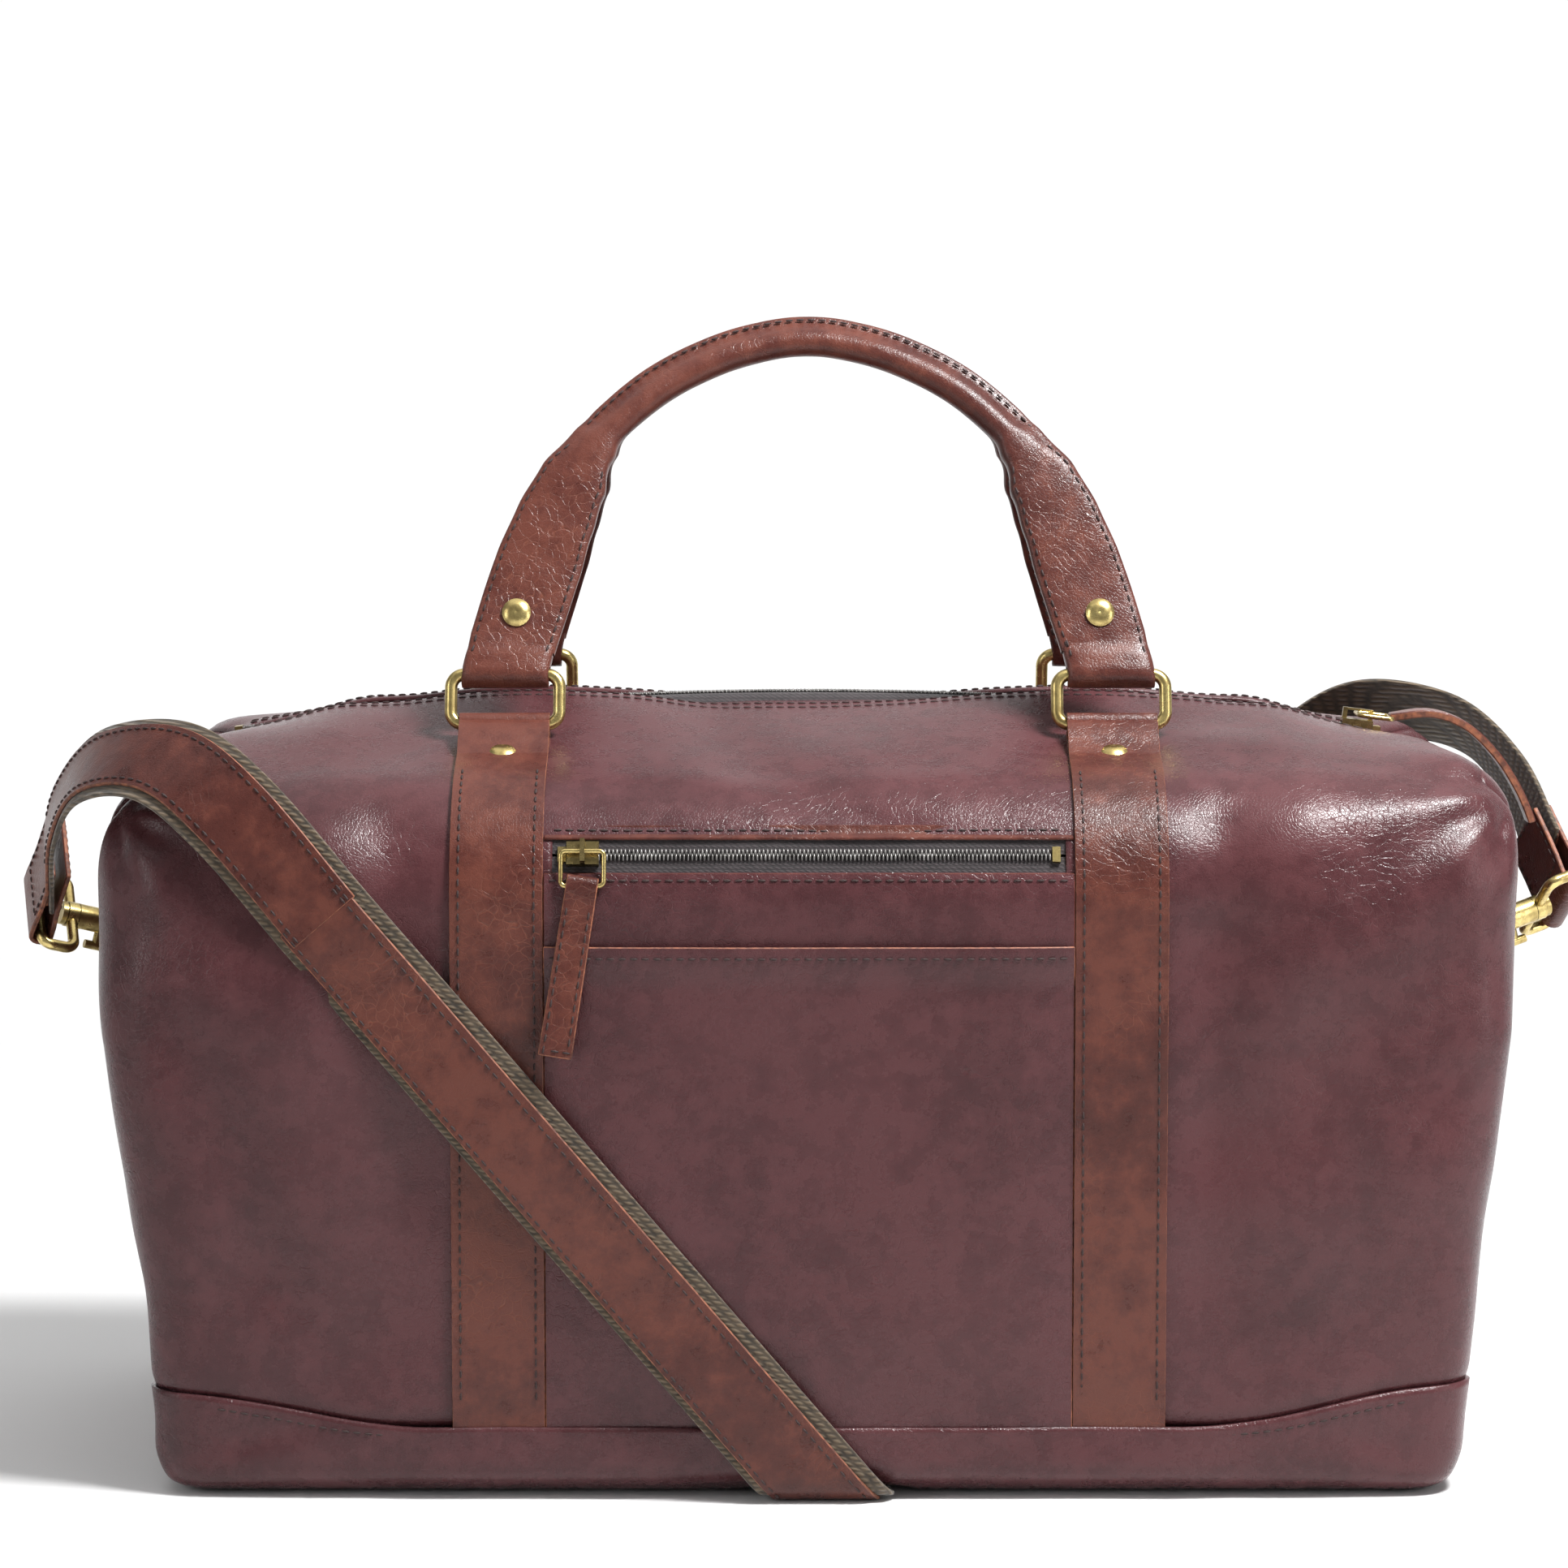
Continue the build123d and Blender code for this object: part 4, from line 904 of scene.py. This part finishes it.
def droppedLine(x0, x1, count, start, way, lift, missed):
    # points of a seam, each dropped on to the bag; missed(x) gives a point where the bag has none
    line = []
    for i in range(count + 1):
        x = mix(x0, x1, i / count)
        hit = formTree.ray_cast(start(x), way, 0.1)[0]
        line.append((hit if hit else missed(x)) + lift)
    return line


# stitching along the panels' edges
beads = []
for side in (-1, 1):
    for y in mainZip["stitchRows"]:
        line = droppedLine(-0.222, 0.222, 220, lambda x: Vector((x, side * y, 0.33)), Vector((0, 0, -1)),
                           Vector((0, 0, 0.0001)), lambda x: Vector((x, side * y, roofHeight(x, y))))
        beads += stitchRow(line, lambda share: Vector((0, side * 0.3, 1)).normalized())
beadPiece("main_zip_stitching", beads, "bag", "body_leather", threadFinish)
beads = []
for side in (-1, 1):
    for x0, x1 in ((-0.222, -0.135), (-0.097, 0.097), (0.135, 0.222)):
        line = droppedLine(x0, x1, 60, lambda x: Vector((x, side * 0.17, bandTop(x, 0.125) - 0.0042)),
                           Vector((0, -side, 0)), Vector((0, side * 0.0009, 0)),
                           lambda x: Vector((x, side * 0.125, bandTop(x, 0.125) - 0.0042)))
        beads += stitchRow(line, lambda share: Vector((0, side, 0)))
beadPiece("base_band_stitching", beads, "bag", "body_leather", threadFinish)
print("zips done")

# handles
handle = {
    "stations": ((-0.0052, -0.1160), (0.0, -0.1160), (0.010, -0.1140), (0.041, -0.1050), (0.066, -0.0962),
                 (0.085, -0.0868), (0.1005, -0.0745), (0.1165, -0.0560), (0.1280, -0.0345), (0.1340, -0.0150),
                 (0.1357, 0.0)),
    # height, half width, half thickness, share of the round grip
    "section": ((-0.0052, 0.0166, 0.0008, 0), (-0.0045, 0.0168, 0.0026, 0), (-0.0025, 0.0168, 0.0045, 0),
                (0.0, 0.0168, 0.0052, 0), (0.006, 0.0168, 0.0046, 0), (0.014, 0.0167, 0.0031, 0),
                (0.030, 0.0169, 0.0026, 0), (0.044, 0.0168, 0.0028, 0), (0.062, 0.0160, 0.0036, 0.05),
                (0.078, 0.0145, 0.0046, 0.12), (0.092, 0.0118, 0.0052, 0.55), (0.100, 0.0088, 0.0053, 1),
                (0.14, 0.0078, 0.0054, 1)),
    "bore": 0.0030,
    "flange": 0.0055,
    "foot": 0.012,              # up to here the ends run straight up
    "holes": 0.116,
}
pivot = joints["front_handle_swing"]["pos_m"]
handleLow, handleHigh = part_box("front_handle_leather")
handleLean = abs(math.atan2(pivot[1] - handleHigh.y - 0.004, handleHigh.z - 0.006 - pivot[2]))


def handlePoint(height, x, out, side):
    up = Vector((0, -side * math.sin(handleLean), math.cos(handleLean)))
    normal = Vector((0, side * math.cos(handleLean), math.sin(handleLean)))
    return Vector((0, -side * pivot[1], pivot[2])) + up * height + Vector((x, 0, 0)) + normal * out


def sectionAt(height):
    rows = handle["section"]
    for a, b in zip(rows, rows[1:]):
        if height <= b[0]:
            t = smooth(a[0], b[0], height)
            return [mix(p, q, t) for p, q in zip(a[1:], b[1:])]
    return rows[-1][1:]


half = [Vector((h, x, 0)) for h, x in handle["stations"]]
wholePath = half + [Vector((p.x, -p.y, 0)) for p in reversed(half[:-1])]
handleLine = fairLine(wholePath, 0.0016)
handleLine.append(wholePath[-1])


def handleSection(turn, row):
    here = handleLine[row]
    before, after = handleLine[max(row - 1, 0)], handleLine[min(row + 1, len(handleLine) - 1)]
    way = (after - before).normalized()
    if here.x < handle["foot"]:
        way = Vector((1 if row < len(handleLine) / 2 else -1, 0, 0))
    out = Vector((-way.y, way.x, 0))
    width, thick, grip = sectionAt(here.x)
    c, s = math.cos(turn), math.sin(turn)
    flat = Vector((math.copysign(abs(c) ** 0.35, c) * width, math.copysign(abs(s) ** 0.5, s) * thick))
    if c > 0:
        rounded = Vector((c * thick, s * thick))
    else:
        pinch = 1 - 0.72 * smooth(0.15, 0.75, -c)
        rounded = Vector((c * (thick + handle["flange"]), math.copysign(abs(s) ** 0.8, s) * thick * pinch))
    return here, out, flat.lerp(rounded, grip)


for side, face in ((-1, "front"), (1, "rear")):
    rows = len(handleLine) - 1

    def place(u, w):
        turn = 2 * math.pi * (u if u < 0.9999 else 0)
        here, out, shape = handleSection(turn, round(w * rows))
        spot = here + out * shape.x
        crease = noise.noise(Vector((here.x * 60, here.y * 60, shape.y * 120))) * 0.00035
        return handlePoint(spot.x, spot.y, shape.y + math.copysign(crease, shape.y), side)

    piece = tubePiece(32, rows, place, strapLeather)
    for end in (-1, 1):
        deselectAll()
        bpy.ops.mesh.primitive_cylinder_add(vertices=24, radius=handle["bore"], depth=0.05,
                                            location=(end * handle["holes"], -side * pivot[1], pivot[2]),
                                            rotation=(0, math.pi / 2, 0))
        cutWith(piece, bpy.context.object)
    selectOnly(piece)
    bpy.ops.object.shade_smooth_by_angle(angle=0.9)
    finishPiece(piece, f"{face}_handle_skin", f"{face}_handle", "strap_leather", strapLeather,
                [f"{face}_handle_leather", f"{face}_handle_core"])
    beads = []
    normal = Vector((0, side * math.cos(handleLean), math.sin(handleLean)))
    for outward in (-1, 1):
        line = []
        for row in range(len(handleLine)):
            here, out, shape = handleSection(0, row)
            if here.x < 0.078:
                continue
            width, thick, grip = sectionAt(here.x)
            spot = here - out * (thick + handle["flange"] * 0.62)
            line.append(handlePoint(spot.x, spot.y, outward * (thick * 0.30 + 0.0003), side))
        beads += stitchRow(line, lambda share: normal * outward)
    for turn in (0.889, math.pi - 0.889, -0.889, 0.889 - math.pi):
        line = []
        for row in range(len(handleLine)):
            here, out, shape = handleSection(turn, row)
            if 0.006 < here.x < 0.088:
                spot = here + out * shape.x
                line.append(handlePoint(spot.x, spot.y, shape.y + math.copysign(0.0003, shape.y), side))
            elif line:
                beads += stitchRow(line, lambda share: normal * math.copysign(1, turn))
                line = []
        if len(line) > 1:
            beads += stitchRow(line, lambda share: normal * math.copysign(1, turn))
    beadPiece(f"{face}_handle_stitching", beads, f"{face}_handle", "strap_leather", threadFinish)
print("handles done")

# shoulder strap: webbing with a leather overlay, under the base and up both sides
shoulder = {
    "slope": math.tan(strapRun["rise"]),
    "plane": webbingBox[1].y - 0.0009,
    "bottom": 0.0025,
    "corner": 0.0085,
    "webbing": 0.0018,
    "overlay": 0.0016,
    "overlayHalf": 0.015,
    "overlayLift": 0.0017,
    "stitchHalf": 0.0123,
    "threadLift": 0.0010,
}


def shoulderStrand(u, lift):
    # from the middle of the base to the top of the front run
    half = strapRun["half"]
    plane, bottom, corner = shoulder["plane"] + lift, shoulder["bottom"] - lift, shoulder["corner"] + lift
    line = []
    for i in range(24):
        y = (plane - corner) * i / 24
        wide = mix(half, half / math.cos(strapRun["rise"]), smooth(0.100, plane - corner, y))
        line.append(Vector((strapRun["foot"] * y / (plane - corner) + u * wide, -y, bottom)))
    foot = strapRun["foot"] + u * half / math.cos(strapRun["rise"])
    for i in range(9):
        turn = math.pi / 2 * i / 8
        point = Vector((foot, -(plane - corner + corner * math.sin(turn)),
                        bottom + corner * (1 - math.cos(turn))))
        point.x -= max(point.z - bottom, 0) * shoulder["slope"]
        line.append(point)
    low = bottom + corner
    top = strapRun["top"] - half * math.sin(strapRun["rise"]) + u * half * math.sin(strapRun["rise"])
    for i in range(1, 71):
        z = mix(low, top, i / 70)
        wave = 0.0005 * math.sin(z * 47 + 1.3) * smooth(0.03, 0.08, z) * (1 - smooth(0.19, 0.22, z))
        tuck = 0.0007 * smooth(top - 0.008, top, z)
        line.append(Vector((foot - (z - bottom) * shoulder["slope"], -plane - wave + tuck, z)))
    return line


def wholeStrand(u, lift):
    front = shoulderStrand(u, lift)
    rear = [Vector((-p.x, -p.y, p.z)) for p in shoulderStrand(-u, lift)]
    return rear[:0:-1] + front


def strapLayers(prefix, clothName, overlayName):
    # the cloth and the leather on it: (name, half width, lift, thickness, finish, slot, cut edge)
    return (
        (prefix + clothName, strapRun["half"], 0.0, shoulder["webbing"], webbingCloth, "webbing", None),
        (prefix + overlayName, shoulder["overlayHalf"], shoulder["overlayLift"], shoulder["overlay"],
         strapLeather, "strap_leather", cutEdge),
    )


shoulderNodes = ("shoulder_strap_webbing", "shoulder_strap_leather")
shoulderLayers = strapLayers("shoulder_strap_", "webbing_cloth", "leather_overlay")
for node, (name, halfWidth, lift, thickness, finish, slotName, rim) in zip(shoulderNodes, shoulderLayers):
    share, columns = halfWidth / strapRun["half"], 8
    lines = [wholeStrand(share * (2 * i / columns - 1), lift) for i in range(columns + 1)]
    piece = linedSheet(lines, thickness, finish, rim=rim, bevel=0.0004)
    finishPiece(piece, name, "bag", slotName, finish, [node])
beads = []
for edge in (-1, 1):
    line = wholeStrand(edge * shoulder["stitchHalf"] / strapRun["half"],
                       shoulder["overlayLift"] + shoulder["threadLift"])
    middle = len(line) // 2
    # no stitches under the base
    for part, out in ((line[:middle - 26], 1), (line[middle + 27:], -1)):
        beads += stitchRow(part, lambda share: Vector((0, out, 0)))
beadPiece("shoulder_strap_stitching", beads, "bag", "strap_leather", threadFinish)
print("shoulder strap done")

# strap ends, chapes and clips
ear = {"corner": Vector((-0.262, -0.125, 0.2757)),
       "route": ((0.049, -0.002, -0.017), (0.022, 0.013, 0.001), (-0.008, 0.039, -0.003),
                 (-0.026, 0.070, -0.024)),
       "widths": ((0.76, 0.15, 0.63), (0.60, 0.42, 0.68), (0.25, 0.68, 0.69), (0.0, 0.74, 0.67)),
       "chapeWay": (0.34, -0.65, 0.67), "chapeReach": 0.030, "eyeReach": 0.0245, "eyeBar": 0.0135,
       "chapeHalf": 0.016, "chapeFold": 0.0039, "chapeThickness": 0.0019, "stitchEdges": (0.09, 0.91)}
chapeSide = [(0.034, 0.0030), (0.026, 0.0030), (0.018, 0.0030), (0.011, 0.0033), (0.005, 0.0038)]
chapeCorners = [(0.0325, -0.0135), (0.0325, 0.0135), (0.0085, 0.0135), (0.0085, -0.0135), (0.0325, -0.0135)]
endTab = {"half": 0.0135, "thickness": 0.0018, "fold": 0.0039}
tabSide = [(0.0405, 0.0012), (0.030, 0.0014), (0.018, 0.0018), (0.009, 0.0028), (0.004, 0.0036)]
tabCorners = [(0.0385, -0.0112), (0.0385, 0.0112), (0.013, 0.0112), (0.013, -0.0112), (0.0385, -0.0112)]
hookX = Vector(joints["left_hook_swivel"]["axis"]).normalized()
hookZ = (Vector((0, 0, 1)) - hookX * hookX.z).normalized()
hookSide = hookZ.cross(hookX)
eyeCentre = Vector(joints["left_hook_swivel"]["pos_m"]) + hookX * ear["eyeReach"]
eyeSide = hookZ * math.sin(math.radians(40)) - hookSide * math.cos(math.radians(40))
eyeBar = eyeCentre + hookX * ear["eyeBar"]
chapeWay = Vector(ear["chapeWay"])
chapeWay = (chapeWay - eyeSide * chapeWay.dot(eyeSide)).normalized()
chapeOut = chapeWay.cross(eyeSide)
if chapeOut.x > 0:
    chapeOut.negate()
chapeEnd = eyeBar + chapeWay * ear["chapeReach"]
runHeight = strapRun["top"] - strapRun["half"] * math.sin(strapRun["rise"])
runTop = Vector((-shoulder["slope"] * (runHeight - shoulder["bottom"]) + strapRun["foot"], -shoulder["plane"],
                 runHeight))
runWide = Vector((math.cos(strapRun["rise"]), 0, math.sin(strapRun["rise"])))
runWay = Vector((-math.sin(strapRun["rise"]), 0, math.cos(strapRun["rise"])))
endPoints = [runTop - runWay * 0.006]
endPoints += [ear["corner"] + Vector(p) for p in ear["route"]]
endPoints.append(chapeEnd - chapeWay * 0.012)
endWidths = [runWide] + [Vector(p).normalized() for p in ear["widths"]]
endWidths.append(eyeSide if eyeSide.dot(endWidths[-1]) > 0 else -eyeSide)


def flip(point, hand):
    return point if hand == "left" else Vector((-point.x, -point.y, point.z))


def endPlace(u, w, halfWidth, lift, hand):
    middle = curveThrough(endPoints, w)
    way = (curveThrough(endPoints, min(w + 0.01, 1)) - curveThrough(endPoints, max(w - 0.01, 0))).normalized()
    wide = curveThrough(endWidths, w)
    wide = (wide - way * wide.dot(way)).normalized()
    out = wide.cross(way)
    return flip(middle + wide * (mix(-1, 1, u) * halfWidth) + out * lift, hand), flip(out, hand)


def blendEnd(piece, hand):
    flip(endPoints[1], hand)
    flip(endPoints[-1], hand)
    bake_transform(piece)


for hand in ("left", "right"):
    clip = f"{hand}_clip"
    endLayers = strapLayers(f"{hand}_strap_end_", "cloth", "overlay")
    for name, halfWidth, lift, thickness, finish, slotName, rim in endLayers:
        piece = sheetPiece(8, 60, lambda u, w: endPlace(u, w, halfWidth, lift, hand)[0], thickness, finish,
                           rim=rim, bevel=0.0004)
        piece.name = piece.data.name = name
        blendEnd(piece, hand)
        if finish is webbingCloth:
            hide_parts(f"{hand}_strap_end")
    beads = []
    for edge in ear["stitchEdges"]:
        line = [endPlace(edge, i / 60, shoulder["overlayHalf"], 0.0027, hand)[0] for i in range(55)]
        beads += stitchRow(
            line, lambda share: endPlace(edge, share * 54 / 60, shoulder["overlayHalf"], 0, hand)[1])
    piece = beadPiece(f"{hand}_strap_end_stitching", beads, None, "strap_leather", threadFinish)
    blendEnd(piece, hand)

    # the chape is folded round the clip's eye
    loop = foldedStrip(chapeSide, ear["chapeFold"], 20)

    def chapePlace(reach, across, out):
        return flip(eyeBar + eyeSide * across + chapeWay * reach + chapeOut * out, hand)

    lines = [[chapePlace(reach, mix(-1, 1, i / 4) * ear["chapeHalf"], out) for reach, out in loop]
             for i in range(5)]
    piece = linedSheet(lines, ear["chapeThickness"], strapLeather, rim=cutEdge, bevel=0.0004)
    finishPiece(piece, f"{hand}_strap_chape_leather", clip, "strap_leather", strapLeather,
                [f"{hand}_strap_chape"])
    beads = []
    for out in (-1, 1):
        beads += corneredStitches(
            chapeCorners, 12, lambda p: chapePlace(p.x, p.y, out * (0.0041 if p.x > 0.015 else 0.0045)),
            lambda share: flip(chapeOut * out, hand))
    beadPiece(f"{hand}_strap_chape_stitching", beads, clip, "strap_leather", threadFinish)

    # the end tab hangs from the panel and holds the D ring
    ringJoint = joints[f"{hand}_clip_swing"]["pos_m"]
    outward = -1 if hand == "left" else 1

    def tabPlace(reach, across, out):
        return Vector((ringJoint[0] + outward * out, across, ringJoint[2] - reach))

    loop = foldedStrip(tabSide, endTab["fold"], 20)
    lines = [[tabPlace(reach, mix(-endTab["half"], endTab["half"], i / 6), out - 0.0004) for reach, out in loop]
             for i in range(7)]
    piece = linedSheet(lines, endTab["thickness"], strapLeather, rim=cutEdge, bevel=0.0004)
    finishPiece(piece, f"{hand}_end_tab_leather", "bag", "strap_leather", strapLeather, [f"{hand}_end_tab"])
    beads = corneredStitches(
        tabCorners, 12, lambda p: tabPlace(p.x, p.y, mix(0.0018, 0.0012, smooth(0.018, 0.040, p.x)) + 0.0008),
        lambda share: Vector((outward, 0, 0)))
    beadPiece(f"{hand}_end_tab_stitching", beads, "bag", "strap_leather", threadFinish)
print("strap ends done")

# pull tabs
pullBox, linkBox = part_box("pocket_pull_tab"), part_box("pocket_pull_link")
pullTop = Vector(((pullBox[0].x + pullBox[1].x) / 2, linkBox[0].y + 0.0022, linkBox[0].z + 0.0016))
pull = {"half": 0.0059, "length": pullBox[1].z - pullBox[0].z - 0.003, "lean": math.radians(9), "forward": 0.14,
        "thickness": 0.0016, "fold": 0.0021, "spread": 0.07, "threadLift": 0.0019}
pullDown = Vector((-math.sin(pull["lean"]), -pull["forward"], -math.cos(pull["lean"]))).normalized()
pullWide = Vector((math.cos(pull["lean"]), 0, -math.sin(pull["lean"])))
pullOut = pullWide.cross(pullDown)
if pullOut.y > 0:
    pullOut.negate()
pullLoop = foldedStrip([(pull["length"] * part, 0.0010) for part in (1, 0.75, 0.5, 0.25)]
                       + [(0.010, 0.0011), (0.004, 0.0019)], pull["fold"], 30)


def pullPlace(u, w):
    reach, out = pullLoop[round(w * (len(pullLoop) - 1))]
    half = pull["half"] * (1 + pull["spread"] * reach / pull["length"])
    return pullTop + pullDown * reach + pullWide * (mix(-1, 1, u) * half) + pullOut * out


piece = sheetPiece(4, len(pullLoop) - 1, pullPlace, pull["thickness"], strapLeather, rim=cutEdge, bevel=0.0004)
finishPiece(piece, "pocket_pull_tab_leather", "pocket_pull", "strap_leather", strapLeather, ["pocket_pull_tab"])
lastStitch = pull["length"] - 0.0022
corners = [(0.009, -0.0042), (lastStitch, -0.0045), (lastStitch, 0.0045), (0.009, 0.0042)]
beads = corneredStitches(
    corners, 24, lambda p: pullTop + pullDown * p.x + pullWide * p.y + pullOut * pull["threadLift"],
    lambda share: pullOut)
beadPiece("pocket_pull_stitching", beads, "pocket_pull", "strap_leather", threadFinish)

tail = {
    "half": 0.0056,
    "thickness": 0.0030,
    "route": ((0.016, 0.0015), (0.030, -0.0035), (0.042, -0.0150), (0.051, -0.0290), (0.057, -0.0430)),
    "flattened": 0.12,          # what is left of its droop when the zip is drawn
}
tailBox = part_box("main_pull_tail")
tailStart = Vector((tailBox[0].x + 0.0016, 0, tailBox[1].z - 0.0016))
tailLine = fairLine([tailStart] + [tailStart + Vector((x, 0, z)) for x, z in tail["route"]], 0.002)


def tailPlace(u, w):
    row = round(w * (len(tailLine) - 1))
    wide = tail["half"] * (1 - 0.25 * (1 - smooth(0.0, 0.12, w)))
    return tailLine[row] + Vector((0, mix(-1, 1, u) * wide, 0))


piece = sheetPiece(4, len(tailLine) - 1, tailPlace, tail["thickness"], strapLeather, rim=cutEdge, bevel=0.0005)
finishPiece(piece, "main_pull_tail_leather", "main_pull", "strap_leather", strapLeather, ["main_pull_tail"])
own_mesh(piece)
print("pulls done")

# floor, light and camera
studio = {
    "flat": 2.6,                # the floor is flat to this reach, then climbs as a bowl
    "bowl": 2.2,
    "wall": 6.1,                # and rises as a wall from here to its edge
    "edge": 7.5,
    "floorGrey": 0.74,
    "worldLight": 0.16,
    "lights": (                 # name, place, aim, size, power
        ("keyLight", (0.55, -0.45, 1.35), (0.15, -0.08, 0.2), (0.36, 0.36), 40),
        ("fillLight", (-1.6, -1.0, 0.8), (-0.05, 0, 0.12), (0.4, 1.2), 7),
        ("sideLight", (1.6, -0.9, 0.6), (0.05, 0, 0.15), (0.4, 1.0), 5),
        ("roomLight", (0, 0.4, 3.4), (0, 0.4, 0), (4.5, 4.5), 62),
        ("wallLight", (0, 1.6, 2.6), (0, 4.8, 1.2), (2.5, 1.2), 90),
    ),
    "camera": (-0.0093, -1.925, 0.45),
    "aim": (-0.0093, -0.125, 0.2697),
    "lens": 112.4,
    "sensor": 36,
}
deselectAll()
bpy.ops.mesh.primitive_grid_add(x_subdivisions=64, y_subdivisions=48, size=2)
floor = bpy.context.object
floor.name = "floor"
for v in floor.data.vertices:
    turn, reach = math.pi * v.co.x, studio["edge"] * (v.co.y + 1) / 2
    climb = min(max(reach - studio["flat"], 0) / studio["bowl"], math.pi / 2)
    out = min(reach, studio["flat"]) + studio["bowl"] * math.sin(climb)
    rise = studio["bowl"] * (1 - math.cos(climb)) + max(reach - studio["wall"], 0) * 3
    v.co = (out * math.cos(turn), out * math.sin(turn), rise)
cleanMesh(merge=0.0001, inside=True)
floorFinish = newFinish("floorFinish")[0]
setInputs(floorFinish.node_tree.nodes["Principled BSDF"], {
    "Base Color": (*(studio["floorGrey"],) * 3, 1), "Roughness": 0.9, "Specular IOR Level": 0.1})
floor.data.materials.append(floorFinish)
bpy.ops.object.shade_smooth()

world = bpy.data.worlds.new("softRoom")
bpy.context.scene.world = world
world.use_nodes = True
setInputs(world.node_tree.nodes["Background"], {"Color": (1.0, 1.0, 1.0, 1), "Strength": studio["worldLight"]})


def areaLight(name, place, aim, size, power):
    deselectAll()
    bpy.ops.object.light_add(type="AREA", location=place)
    light = bpy.context.object
    light.name = name
    light.data.shape = "RECTANGLE"
    light.data.size, light.data.size_y = size
    light.data.energy = power
    light.rotation_euler = (Vector(aim) - Vector(place)).to_track_quat("-Z", "Y").to_euler()


for light in studio["lights"]:
    areaLight(*light)

bpy.ops.object.camera_add(location=studio["camera"])
camera = bpy.context.object
camera.rotation_euler = (Vector(studio["aim"]) - camera.location).to_track_quat("-Z", "Y").to_euler()
camera.data.lens = studio["lens"]
camera.data.sensor_width = studio["sensor"]
bpy.context.scene.camera = camera
bpy.context.scene.view_settings.view_transform = "Standard"
